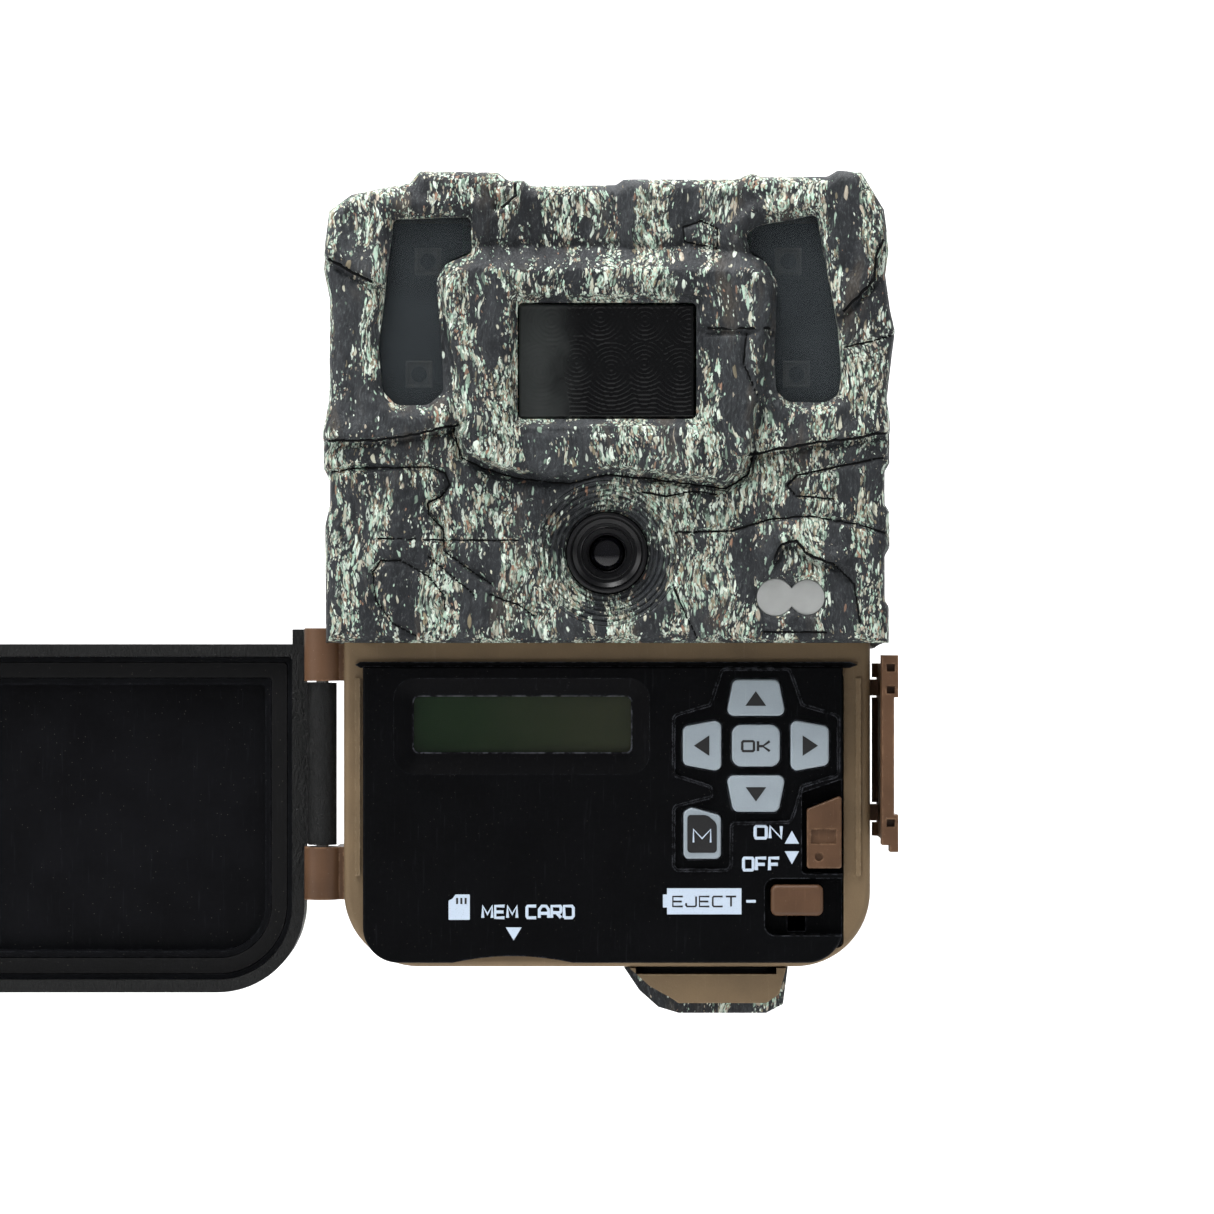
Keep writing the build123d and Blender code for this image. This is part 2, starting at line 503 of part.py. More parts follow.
def tray_contacts():
    """Sprung contact plates at both ends of each column of cells."""
    found = []
    for x, y, z in cell_places():
        level_end = z + CELL_LENGTH / 2 + 0.02
        found.append(box((x - 4.0, x + 4.0), (y - 4.0, y + 4.0), (level_end, level_end + 0.15)))
    return found


# ---------------------------------------------------------------- optics and electronics
SENSOR_BOARD_Z = (17.9, 75.9)
BOARD_SCREWS = [(-30.4, -26.0), (1.2, -26.6), (-31.4, 7.6), (31.2, 8.4)]


def lens_bezel():
    """Stepped rings round the lens, dished towards its barrel."""
    steps = [(10.5, 0.0), (9.7, 0.35), (8.9, 0.7), (8.1, 1.05), (7.3, 1.4), (6.6, 1.75)]
    bezel = None
    for outer_r, sunk in steps:
        ring = post(0, LENS_Z, outer_r, FRONT_Y + 2.9, FRONT_Y + sunk)
        bezel = ring if bezel is None else bezel - post(0, LENS_Z, outer_r, FRONT_Y + sunk, FRONT_Y - 1)
    return bezel - post(0, LENS_Z, 6.0, FRONT_Y + 4, FRONT_Y - 1)


def lens_barrel():
    """The black tube of the lens, with its sunk inner rings."""
    barrel = post(0, LENS_Z, 5.85, -66.0, FRONT_Y + 0.3)
    barrel = fillet(barrel.faces().sort_by(Axis.Y)[0].edges(), 0.3)
    for radius, depth in ((4.6, 0.8), (3.6, 1.5), (2.6, 5.0)):
        barrel -= post(0, LENS_Z, radius, FRONT_Y + 0.3 + depth, FRONT_Y - 1)
    return barrel - post(0, LENS_Z, 2.0, -65, FRONT_Y)


def lens_glass():
    """The front element, bulging out of the barrel."""
    ball = Pos(0, FRONT_Y + 7.0, LENS_Z) * Sphere(4.9)
    return ball & post(0, LENS_Z, 2.5, FRONT_Y + 4.6, FRONT_Y)


def twin(shape):
    """A solid and its mirror image across the middle of the camera."""
    return [shape, mirror(shape, Plane.YZ)]


def led_places():
    """The middle of each infrared lamp in X and Z."""
    return [(-26.0, 70.4), (-27.3, 54.0), (26.3, 70.4), (27.5, 54.0)]


def write_optics():
    """Windows, lamps, sensors, lens and their boards."""
    for side, points in (("left", LED_WINDOW_LEFT), ("right", LED_WINDOW_RIGHT)):
        pane = slab(grown(outline(points, 0.8), 0.7), FRONT_Y + 3.1, FRONT_Y + 2.05)
        write(f"led_window_{side}", pane + slab(grown(outline(points, 0.8), -0.1), FRONT_Y + 2.1, FRONT_Y + 1.7))
    boards = [box((x - 6.5, x + 6.5), (-67.6, -66.6), (48.6, 76.0)) for x in (-27.6, 27.6)]
    write("led_boards", *boards)
    write("ir_leds", *[box((x - 1.9, x + 1.9), (-69.4, -67.6), (z - 1.9, z + 1.9)) for x, z in led_places()])
    pane = slab(grown(PIR_WINDOW, -0.1), FRONT_Y + 2.1, FRONT_Y - 0.4)
    write("pir_window", pane + slab(grown(PIR_WINDOW, 1.0), FRONT_Y + 3.0, FRONT_Y + 2.05))
    can = post(0, WINDOW_Z, 4.1, -61.4, -65.4) + post(0, WINDOW_Z, 4.7, -61.35, -62.0)
    write("pir_sensor", can)
    write("lens_bezel", lens_bezel())
    write("lens_barrel", lens_barrel())
    write("lens_glass", lens_glass())
    seat = box((-7.5, 7.5), (-64.6, -61.3), (LENS_Z - 7.5, LENS_Z + 7.5)) + post(0, LENS_Z, 6.6, -61.3, -65.8)
    write("lens_holder", seat - post(0, LENS_Z, 4.0, -60, -67) - box((-4.5, 4.5), (-62.6, -61), (LENS_Z - 4.5, LENS_Z + 4.5)))
    write("image_sensor", box((-4.0, 4.0), (-62.3, -61.3), (LENS_Z - 4.0, LENS_Z + 4.0)))
    pane = slab(status_outline(-0.1), FRONT_Y + 2.1, FRONT_Y + 0.6) + slab(status_outline(0.7), FRONT_Y + 2.9, FRONT_Y + 2.05)
    write("status_window", pane)
    lamps = []
    for x in (LIGHT_X - 2.3, LIGHT_X + 2.3):
        lamps.append(post(x, LIGHT_Z, 1.5, -61.3, -68.0) + Pos(x, -68.0, LIGHT_Z) * Sphere(1.5))
    write("status_leds", *lamps)
    board = slab(rect((-35.4, 35.4), SENSOR_BOARD_Z, 1.0), BOARD_Y, BOARD_Y - BOARD_T)
    for x, z in CASE_SCREWS[:2]:
        board -= post(x, z, 4.2, BOARD_Y + 1, BOARD_Y - BOARD_T - 1)
    write("sensor_board", board)
    write("image_processor", box((-30.0, -16.0), (-62.5, -61.3), (24.0, 38.0)))


def write_controls():
    """Everything behind and in the control panel."""
    write("control_panel", control_panel())
    for name, profile in KEYS.items():
        write(name, key(profile))
    write("power_slider", power_slider())
    write("eject_button", eject_button())
    mat = rect((9.8, 33.2), (-4.6, 5.0)) + rect((9.8, 28.0), (4.9, 9.0))
    mat += rect((9.8, 27.4), (-10.9, -4.5)) + rect((9.8, 18.0), (-17.6, -10.8))
    write("keypad_mat", slab(mat, PANEL_BACK_Y + 1.0, PANEL_BACK_Y + 0.1))
    write("lcd_window", slab(rect((-29.2, 4.5), (-2.0, 8.1), 0.6), PANEL_Y + 2.2, PANEL_Y + 1.45))
    write("lcd_display", slab(rect((-29.2, 4.5), (-2.0, 8.1), 0.4), PANEL_BACK_Y + 0.9, PANEL_Y + 2.3))
    board = slab(fillet(rect((-34.0, 33.4), (-29.9, 17.2)).vertices().group_by(Axis.Y)[0], 8.0), BOARD_Y, BOARD_Y - BOARD_T)
    board -= box((26.0, 29.4), (-62, -59), (-27.6, -20.6))
    for x, z in BOARD_SCREWS:
        board -= post(x, z, 0.9, BOARD_Y + 1, BOARD_Y - BOARD_T - 1)
    write("control_board", board)
    write("power_switch", box((29.8, 32.2), (PANEL_BACK_Y + 0.35, BOARD_Y - BOARD_T), (-17.2, -7.6)))
    slot = box((-26.6, -0.9), (BOARD_Y + 3.1, BOARD_Y), (-29.6, -2.0))
    write("card_socket", slot - box((-25.9, -1.6), (BOARD_Y + 2.75, BOARD_Y + 0.3), (-30, -2.6)))
    card = outline([(-25.7, HOUSING_BOTTOM_Z + 0.1), (-1.8, HOUSING_BOTTOM_Z + 0.1), (-1.8, -3.0), (-23.2, -3.0), (-25.7, -5.4)])
    write("memory_card", slab(card, BOARD_Y + 2.6, BOARD_Y + 0.5))
    ribbon = box((-9.0, 1.0), (BOARD_Y + 0.35, BOARD_Y + 0.05), (8.0, 27.0))
    write("ribbon_cable", ribbon)


# ---------------------------------------------------------------- back
BRACKET_SCREWS = [(-15.0, STRAP_Z - STRAP_HALF - 4.0), (15.0, STRAP_Z - STRAP_HALF - 4.0),
                  (-15.0, STRAP_Z + STRAP_HALF + 4.0), (15.0, STRAP_Z + STRAP_HALF + 4.0)]


def tree_bracket():
    """The toothed bracket: pads above and below the strap's channel, and the socket in the lower pad."""
    low, high = STRAP_Z - STRAP_HALF - 18.0, STRAP_Z + STRAP_HALF + 10.0
    width = (-BRACKET_HALF_WIDTH, BRACKET_HALF_WIDTH)
    bracket = box(width, (-3.4, -1.0), (low, high))
    bracket += box(width, (BACK_Y, -1.0), (low, STRAP_Z - STRAP_HALF)) + box(width, (BACK_Y, -1.0), (STRAP_Z + STRAP_HALF, high))
    bracket = fillet(bracket.edges().filter_by(Axis.Y), 3.0)
    bracket += post(0, 0, 6.4, 0.0, -2.0)
    tooth = outline([(-2.0, 0.0), (2.0, 0.0), (0.0, 0.9)])
    for side in (-1, 1):
        for step in range(12):
            z = low + 5.0 + step * 4.2
            across = Plane(origin=(side * 17.0 - 1.5, -1.1, z), x_dir=(0, 0, -1), z_dir=(1, 0, 0))
            bracket += extrude(across * tooth, 3.0)
    bracket -= post(0, 0, INSERT_R, 1.0, -SOCKET_DEPTH - 0.5)
    for x, z in BRACKET_SCREWS:
        bracket -= post(x, z, 1.6, 1.0, BACK_Y - 1) + post(x, z, 2.9, 1.0, -3.0)
    return bracket


def socket_insert():
    """The threaded brass insert for a tripod screw."""
    return post(0, 0, INSERT_R, 0.0, -SOCKET_DEPTH - 0.5) - post(0, 0, SOCKET_R, 1.0, -SOCKET_DEPTH)


def screw(x, z, head_y, tip_y, head_r, shank_r, head_t):
    """A cross-recessed screw that points forwards."""
    body = post(x, z, head_r, head_y, head_y - head_t) + post(x, z, shank_r, head_y - head_t, tip_y)
    for turn in (0, 90):
        slot = Pos(x, head_y, z) * Rot(0, turn, 0) * Box(head_r * 1.3, 1.0, 0.5)
        body -= slot
    return body


def write_casing():
    """Shells, seal, hinge, latch and the back's hardware."""
    write("front_cover", front_cover())
    write("housing", housing())
    write("rear_shell", rear_shell())
    write("case_gasket", case_gasket())
    write("hinge_knuckles", *hinge_knuckles())
    write("hinge_pin", upright(HINGE_X, HINGE_Y, PIN_R, (KNUCKLE_SPANS[1][0] + 0.6, KNUCKLE_SPANS[0][1] - 0.4)))
    write("latch_lugs", *latch_lugs())
    write("latch_pin", upright(LATCH_PIVOT_X, LATCH_PIVOT_Y, LATCH_PIN_R, (LATCH_SPAN[0] + 1.6, LATCH_SPAN[1] - 1.6)))
    write("latch_lever", latch_lever())
    write("tree_bracket", tree_bracket())
    write("socket_insert", socket_insert())
    write("case_screws", *[screw(x, z, -12.0, -48.5 if z > 0 else -44.0, 2.8, 1.2, 1.8) for x, z in CASE_SCREWS])
    write("bracket_screws", *[screw(x, z, -1.4, -10.4, 2.7, 1.15, 1.5) for x, z in BRACKET_SCREWS])
    write("board_screws", *[screw(x, z, BOARD_Y + 1.2, BOARD_Y - 1.85, 1.6, 0.75, 1.15) for x, z in BOARD_SCREWS])


def write_door():
    """The door's three pieces, turned to fully open."""
    write("door_shell", opened(door_shell()))
    write("door_gasket", opened(door_gasket()))
    write("door_liner", opened(door_liner()))


def write_tray():
    """The battery tray and all that drops out with it."""
    write("battery_bay", battery_bay())
    write("battery_tray", battery_tray())
    write("tray_cap", tray_cap())
    write("tray_cap_cover", tray_cap_cover())
    write("tray_gasket", tray_gasket())
    write("battery_cells", *battery_cells())
    write("tray_contacts", *tray_contacts())


write_casing()
write_optics()
write_controls()
write_door()
write_tray()
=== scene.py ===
"""Looks of a compact trail camera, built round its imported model.

The front cover, lens, windows, lamps, raised bark and printed legends are modelled here. Every other part
keeps its shape and gets a finish. Lengths are written in millimetres and turned into metres at the end.
"""

from __future__ import annotations

import logging
import math
from dataclasses import dataclass, field
from enum import Enum
from typing import Iterable, Sequence

import bmesh
import bpy
import numpy as np
from mathutils import Matrix, Vector, noise

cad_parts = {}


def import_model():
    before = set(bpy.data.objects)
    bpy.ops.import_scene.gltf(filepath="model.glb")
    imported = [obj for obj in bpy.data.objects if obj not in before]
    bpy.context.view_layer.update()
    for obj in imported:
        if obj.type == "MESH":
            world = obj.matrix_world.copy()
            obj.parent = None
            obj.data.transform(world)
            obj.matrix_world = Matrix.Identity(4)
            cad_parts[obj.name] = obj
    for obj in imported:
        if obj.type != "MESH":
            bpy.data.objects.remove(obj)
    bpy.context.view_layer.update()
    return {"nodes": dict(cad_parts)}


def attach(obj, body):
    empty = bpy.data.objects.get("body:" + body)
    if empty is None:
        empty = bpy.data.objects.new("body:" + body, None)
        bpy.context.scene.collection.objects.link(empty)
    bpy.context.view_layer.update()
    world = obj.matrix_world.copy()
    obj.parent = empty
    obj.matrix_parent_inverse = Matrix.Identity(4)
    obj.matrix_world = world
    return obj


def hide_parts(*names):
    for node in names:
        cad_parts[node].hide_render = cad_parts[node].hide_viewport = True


LOG = logging.getLogger("trail_camera")
MM = 0.001

Colour = tuple[float, float, float]
Point = tuple[float, float]
Triple = tuple[float, float, float]
Node = bpy.types.Node
Piece = bpy.types.Object
Shape = bmesh.types.BMesh
Socket = bpy.types.NodeSocket
Tree = bpy.types.NodeTree


def tint(red: int, green: int, blue: int) -> Colour:
    """Turns a display colour into a linear one.

    Args:
        red: Red from 0 to 255.
        green: Green from 0 to 255.
        blue: Blue from 0 to 255.

    Returns:
        The linear colour.
    """
    return tuple(((level / 255 + 0.055) / 1.055) ** 2.4 for level in (red, green, blue))


# ---------------------------------------- node helpers
class Wiring:
    """Adds and links nodes in one node tree."""

    def __init__(self, tree: Tree) -> None:
        """Keeps the tree that is worked on."""
        self.tree = tree

    def add(self, kind: str, inputs: dict | None = None, **settings: object) -> Node:
        """Adds a node, sets its properties, and fills or links its inputs.

        Args:
            kind: The node's type name, without the ShaderNode prefix.
            inputs: Socket name or index to a plain value or to an output socket.
            **settings: Properties of the node.

        Returns:
            The new node.
        """
        node = self.tree.nodes.new("ShaderNode" + kind)
        for name, value in settings.items():
            setattr(node, name, value)
        for key, value in (inputs or {}).items():
            self.feed(node.inputs[key], value)
        return node

    def feed(self, socket: Socket, value: object) -> None:
        """Links an output to a socket, or sets the socket's own value."""
        if isinstance(value, Socket):
            self.tree.links.new(value, socket)
        elif isinstance(value, tuple) and len(value) == 3 and socket.type == "RGBA":
            socket.default_value = (*value, 1.0)
        else:
            socket.default_value = value

    def math(self, operation: str, first: object, second: object = 0.5, clamp: bool = False) -> Socket:
        """A math node's result."""
        node = self.add("Math", {0: first, 1: second}, operation=operation, use_clamp=clamp)
        return node.outputs[0]

    def times(self, first: object, second: object, clamp: bool = False) -> Socket:
        """One value times another."""
        return self.math("MULTIPLY", first, second, clamp)

    def plus(self, first: object, second: object) -> Socket:
        """The sum of two values."""
        return self.math("ADD", first, second)

    def stretch(self, vector: object, scale: Triple, **more: Triple) -> Socket:
        """Stretches a vector, and turns or shifts it when asked."""
        return self.add("Mapping", {"Vector": vector, "Scale": scale, **more}).outputs[0]

    def span(self, value: object, low: float, high: float, start: float = 0.0, end: float = 1.0) -> Socket:
        """Maps low to start and high to end, smoothly and clamped."""
        ends = {"From Min": low, "From Max": high, "To Min": start, "To Max": end}
        node = self.add("MapRange", {"Value": value, **ends})
        node.interpolation_type = "SMOOTHSTEP"
        return node.outputs["Result"]

    def blend(self, factor: object, first: object, second: object, mode: str = "MIX") -> Socket:
        """Mixes two colours."""
        node = self.add("Mix", None, data_type="RGBA", blend_type=mode, clamp_factor=True)
        self.feed(node.inputs[0], factor)
        self.feed(node.inputs[6], first)
        self.feed(node.inputs[7], second)
        return node.outputs[2]

    def place(self, scale: Triple = (1000.0, 1000.0, 1000.0)) -> Socket:
        """Object coordinates in millimetres, stretched by scale / 1000."""
        source = self.add("TexCoord").outputs["Object"]
        return self.add("Mapping", {"Vector": source, "Scale": scale}).outputs[0]

    def noise(self, vector: object, scale: float, detail: float = 3.0, rough: float = 0.55) -> Socket:
        """A noise texture's value."""
        node = self.add("TexNoise", {"Vector": vector, "Scale": scale, "Detail": detail, "Roughness": rough})
        return node.outputs["Fac"]


class Effects:
    """The effects that several finishes share, each a node group built once."""

    built: dict[str, Tree] = {}
    fleck_layers: tuple[Triple, ...] = ((1.7, 0.26, 0.66), (2.6, 0.30, 0.64), (4.4, 0.42, 0.62))
    fleck_tones: tuple[tuple[float, Colour], ...] = (
        (0.0, tint(226, 238, 224)), (0.26, tint(186, 214, 194)), (0.46, tint(206, 206, 186)),
        (0.60, tint(140, 130, 106)), (0.70, tint(188, 178, 160)), (0.80, tint(124, 146, 130)),
        (0.94, tint(150, 116, 96)),
    )

    @classmethod
    def start(cls, name: str, inputs: dict[str, float], outputs: dict[str, str]) -> tuple[Tree, Wiring, dict]:
        """Makes an empty group with its sockets.

        Args:
            name: The group's name.
            inputs: Input names and defaults.
            outputs: Output names and socket types.

        Returns:
            The group, its wiring, and a table of its input sockets.
        """
        tree = bpy.data.node_groups.new(name, "ShaderNodeTree")
        for label, default in inputs.items():
            socket = tree.interface.new_socket(label, in_out="INPUT", socket_type="NodeSocketFloat")
            socket.default_value = default
        for label, kind in outputs.items():
            tree.interface.new_socket(label, in_out="OUTPUT", socket_type=kind)
        entry = tree.nodes.new("NodeGroupInput")
        cls.built[name] = tree
        return tree, Wiring(tree), {label: entry.outputs[label] for label in inputs}

    @staticmethod
    def close(tree: Tree, results: dict[str, Socket]) -> None:
        """Links a group's results to its outputs."""
        leave = tree.nodes.new("NodeGroupOutput")
        for label, socket in results.items():
            tree.links.new(socket, leave.inputs[label])

    @classmethod
    def grain(cls) -> Tree:
        """Fine moulded grain with broad unevenness; gives a height and a slow tone."""
        if "grain" in cls.built:
            return cls.built["grain"]
        tree, wire, given = cls.start(
            "grain", {"Scale": 3.0, "Flow": 0.12}, {"Height": "NodeSocketFloat", "Tone": "NodeSocketFloat"}
        )
        place = wire.place()
        fine = wire.add("TexNoise", {"Vector": place, "Scale": given["Scale"], "Detail": 2.0}).outputs["Fac"]
        slow = wire.add("TexNoise", {"Vector": place, "Scale": given["Flow"], "Detail": 4.0}).outputs["Fac"]
        cls.close(tree, {"Height": fine, "Tone": slow})
        return tree

    @classmethod
    def edges(cls) -> Tree:
        """Finds sharp edges for a painted edge highlight that also stands for edge wear: white where the
        surface turns sharply, broken up by noise.
        """
        if "edges" in cls.built:
            return cls.built["edges"]
        tree, wire, given = cls.start("edges", {"Radius": 0.0004, "Amount": 1.0}, {"Mask": "NodeSocketFloat"})
        soft = wire.add("Bevel", {"Radius": given["Radius"]}, samples=4).outputs[0]
        true = wire.add("NewGeometry").outputs["Normal"]
        turn = wire.add("VectorMath", {0: soft, 1: true}, operation="DOT_PRODUCT").outputs["Value"]
        sharp = wire.span(turn, 0.995, 0.86)
        broken = wire.span(wire.noise(wire.place(), 0.9, 4.0, 0.7), 0.40, 0.62)
        mask = wire.times(wire.times(sharp, broken), given["Amount"], clamp=True)
        cls.close(tree, {"Mask": mask})
        return tree

    @classmethod
    def wear(cls) -> Tree:
        """Fine scuffs and dust specks; gives a mask of each."""
        if "wear" in cls.built:
            return cls.built["wear"]
        tree, wire, given = cls.start(
            "wear", {"Amount": 0.5}, {"Scuff": "NodeSocketFloat", "Dust": "NodeSocketFloat"}
        )
        streaks = wire.noise(wire.place((2600.0, 900.0, 160.0)), 1.0, 3.0, 0.6)
        scuff = wire.times(wire.span(streaks, 0.60, 0.74), given["Amount"], clamp=True)
        specks = wire.add("TexVoronoi", {"Vector": wire.place(), "Scale": 1.1}).outputs["Distance"]
        dust = wire.times(wire.span(specks, 0.10, 0.03), given["Amount"], clamp=True)
        cls.close(tree, {"Scuff": scuff, "Dust": dust})
        return tree

    @classmethod
    def bark(cls) -> Tree:
        """The printed bark pattern: slate ground, and patches of upright flecks in several pale tones."""
        if "bark" in cls.built:
            return cls.built["bark"]
        tree, wire, given = cls.start(
            "bark",
            {"Cover": 0.5, "Bright": 1.0},
            {"Color": "NodeSocketColor", "Height": "NodeSocketFloat", "Roughness": "NodeSocketFloat"},
        )
        plain = wire.place()
        bend = wire.add("TexNoise", {"Vector": plain, "Scale": 0.16, "Detail": 2.0}).outputs["Color"]
        shift = wire.add("VectorMath", {0: bend, 1: (0.5, 0.5, 0.5)}, operation="SUBTRACT").outputs[0]
        amount = wire.add("VectorMath", {0: shift, 1: (3.0, 3.0, 2.0)}, operation="MULTIPLY").outputs[0]
        warped = wire.add("VectorMath", {0: plain, 1: amount}, operation="ADD").outputs[0]
        upright = wire.stretch(warped, (1.0, 1.0, 0.30))
        # where the flecks gather
        patch = wire.noise(upright, 0.22, 5.0, 0.62)
        edge = wire.plus(wire.times(given["Cover"], -0.30), 0.645)
        gather = wire.times(wire.math("SUBTRACT", patch, edge), 9.0, clamp=True)
        flecks, total = cls.bark_flecks(wire, warped, gather, cls.bark_ground(wire, upright))
        crease = wire.noise(wire.stretch(warped, (1.0, 1.0, 0.24)), 1.7, 4.0, 0.7)
        dark = wire.times(wire.span(crease, 0.49, 0.38), wire.plus(wire.times(gather, 0.6), 0.35))
        colour = wire.blend(dark, flecks, tint(18, 19, 20))
        dull = wire.math("SUBTRACT", 1.0, given["Bright"], clamp=True)
        colour = wire.blend(dull, colour, tint(20, 21, 22))
        height = wire.plus(wire.times(total, 0.30), wire.times(crease, 1.3))
        rough = wire.span(wire.noise(plain, 0.5, 3.0), 0.3, 0.7, 0.42, 0.62)
        cls.close(tree, {"Color": colour, "Height": height, "Roughness": rough})
        return tree

    @staticmethod
    def bark_ground(wire: Wiring, upright: Socket) -> Socket:
        """The ground under the flecks: slate that drifts towards brown, with dark and pale grit."""
        drift = wire.noise(upright, 0.13, 4.0, 0.6)
        ground = wire.blend(wire.span(drift, 0.38, 0.64), tint(30, 33, 37), tint(54, 57, 60))
        warm = wire.noise(upright, 0.21, 3.0, 0.6)
        ground = wire.blend(wire.span(warm, 0.56, 0.72, 0.0, 0.55), ground, tint(84, 76, 66))
        grit = wire.noise(upright, 3.2, 3.0, 0.7)
        ground = wire.blend(wire.span(grit, 0.35, 0.70, 0.0, 0.5), ground, tint(16, 17, 19))
        return wire.blend(wire.span(grit, 0.46, 0.30, 0.0, 0.45), ground, tint(96, 100, 100))

    @classmethod
    def bark_flecks(
        cls, wire: Wiring, warped: Socket, gather: Socket, ground: Socket
    ) -> tuple[Socket, Socket]:
        """Lays three sizes of fleck on the ground, each fleck with its own random tone.

        Args:
            wire: The group's wiring.
            warped: Coordinates in millimetres, gently bent.
            gather: Where the flecks gather, from 0 to 1.
            ground: The colour under them.

        Returns:
            The colour, and a mask of all the flecks.
        """
        flecks, total = ground, None
        for layer, (scale, tall, size) in enumerate(cls.fleck_layers):
            space = wire.stretch(warped, (1.0, 1.0, tall), Location=(layer * 7.3, 0, 0))
            cells = wire.add("TexVoronoi", {"Vector": space, "Scale": scale, "Randomness": 1.0})
            chance = wire.add("SeparateColor", {0: cells.outputs["Color"]}).outputs
            there = wire.math("GREATER_THAN", wire.plus(chance[0], wire.times(gather, 0.62)), 0.98)
            body = wire.span(cells.outputs["Distance"], size, size - 0.20)
            mask = wire.times(there, body, clamp=True)
            ramp = wire.add("ValToRGB", {0: chance[1]})
            cls.fill(ramp, cls.fleck_tones)
            tone = wire.blend(wire.times(chance[2], 0.45), ramp.outputs[0], tint(60, 62, 60))
            flecks = wire.blend(mask, flecks, tone)
            total = mask if total is None else wire.math("MAXIMUM", total, mask)
        return flecks, total

    @staticmethod
    def fill(ramp: Node, stops: Iterable[tuple[float, Colour]]) -> None:
        """Gives a colour ramp its stops, as flat steps."""
        ramp.color_ramp.interpolation = "CONSTANT"
        points = ramp.color_ramp.elements
        while len(points) > 1:
            points.remove(points[-1])
        for index, (place, colour) in enumerate(stops):
            point = points[0] if index == 0 else points.new(place)
            point.position = place
            point.color = (*colour, 1.0)


# ---------------------------------------- finishes
@dataclass(frozen=True)
class Finish:
    """A named finish; each kind knows how to make its material."""

    name: str

    def start(self) -> tuple[bpy.types.Material, Wiring, Node]:
        """Makes the empty material.

        Returns:
            The material, its wiring and its Principled node.
        """
        material = bpy.data.materials.new(self.name)
        material.use_nodes = True
        wire = Wiring(material.node_tree)
        return material, wire, material.node_tree.nodes["Principled BSDF"]

    def group(self, wire: Wiring, tree: Tree, **values: float) -> Node:
        """Places a shared effect in this material with its own values."""
        node = wire.tree.nodes.new("ShaderNodeGroup")
        node.node_tree = tree
        for label, value in values.items():
            node.inputs[label].default_value = value
        return node

    def bump(self, wire: Wiring, shader: Node, height: object, strength: float, depth: float) -> None:
        """Feeds a height to the shader's normal."""
        node = wire.add("Bump", {"Height": height, "Strength": strength, "Distance": depth * MM})
        wire.feed(shader.inputs["Normal"], node.outputs[0])

    def material(self) -> bpy.types.Material:
        """Makes the material; each kind of finish has its own."""
        raise NotImplementedError


@dataclass(frozen=True)
class Moulded(Finish):
    """Moulded plastic or rubber: grain, slow tone, edges lightened as painted highlight and edge wear, scuffs
    and dust.
    """

    colour: Colour
    wear_and_highlight: Colour
    rough: float = 0.5
    grain_scale: float = 3.0
    grain_depth: float = 0.03
    tone: float = 0.25
    wear: float = 0.6
    edge: float = 0.0004
    dust: float = 0.35
    sheen: float = 0.30

    def material(self) -> bpy.types.Material:
        """Makes the plastic."""
        made, wire, shader = self.start()
        grain = self.group(wire, Effects.grain(), Scale=self.grain_scale)
        # wear sets how strongly the edges are lightened: painted highlight and edge wear
        edges = self.group(wire, Effects.edges(), Radius=self.edge, Amount=self.wear)
        wear = self.group(wire, Effects.wear(), Amount=self.dust)
        dim = tuple(level * (1 - self.tone) for level in self.colour)
        lit = tuple(min(1.0, level * (1 + self.tone)) for level in self.colour)
        base = wire.blend(wire.span(grain.outputs["Tone"], 0.3, 0.7), dim, lit)
        base = wire.blend(wire.times(grain.outputs["Height"], 0.16), base, dim, "MULTIPLY")
        base = wire.blend(wire.times(wear.outputs["Scuff"], 0.22), base, self.wear_and_highlight)
        base = wire.blend(wire.times(wear.outputs["Dust"], 0.35), base, tint(186, 180, 166))
        # painted highlight along sharp edges, partly edge wear: the edge mask blends the base towards the
        # pale colour
        base = wire.blend(wire.times(edges.outputs["Mask"], 0.55), base, self.wear_and_highlight)
        wire.feed(shader.inputs["Base Color"], base)
        rough = wire.span(grain.outputs["Tone"], 0.2, 0.8, self.rough - 0.06, self.rough + 0.08)
        rough = wire.math("SUBTRACT", rough, wire.times(edges.outputs["Mask"], 0.12))
        wire.feed(shader.inputs["Roughness"], rough)
        shader.inputs["Specular IOR Level"].default_value = self.sheen
        self.bump(wire, shader, grain.outputs["Height"], 0.6, self.grain_depth)
        return made


@dataclass(frozen=True)
class Bark(Finish):
    """The printed bark pattern over textured plastic."""

    cover: float = 0.55
    bright: float = 1.0
    depth: float = 0.24
    inner: float | None = None

    def material(self) -> bpy.types.Material:
        """Makes the printed skin."""
        made, wire, shader = self.start()
        bark = self.group(wire, Effects.bark(), Cover=self.cover, Bright=self.bright)
        edges = self.group(wire, Effects.edges(), Radius=0.0005, Amount=0.5)
        grain = self.group(wire, Effects.grain(), Scale=4.5)
        # painted highlight along sharp edges, partly edge wear: the edge mask lightens the bark towards pale
        # grey
        wear_and_highlight = wire.times(edges.outputs["Mask"], 0.5)
        colour = wire.blend(wear_and_highlight, bark.outputs["Color"], tint(120, 124, 122))
        if self.inner is not None:
            depth = wire.add("SeparateXYZ", {0: wire.place()}).outputs["Y"]
            ragged = wire.plus(depth, wire.times(wire.noise(wire.place(), 0.7, 3.0), 2.2))
            colour = wire.blend(wire.span(ragged, self.inner + 1.6, self.inner + 0.9), colour, tint(6, 7, 7))
        wire.feed(shader.inputs["Base Color"], colour)
        wire.feed(shader.inputs["Roughness"], bark.outputs["Roughness"])
        height = wire.plus(bark.outputs["Height"], wire.times(grain.outputs["Height"], 0.35))
        shader.inputs["Specular IOR Level"].default_value = 0.26
        self.bump(wire, shader, height, 0.9, self.depth)
        return made


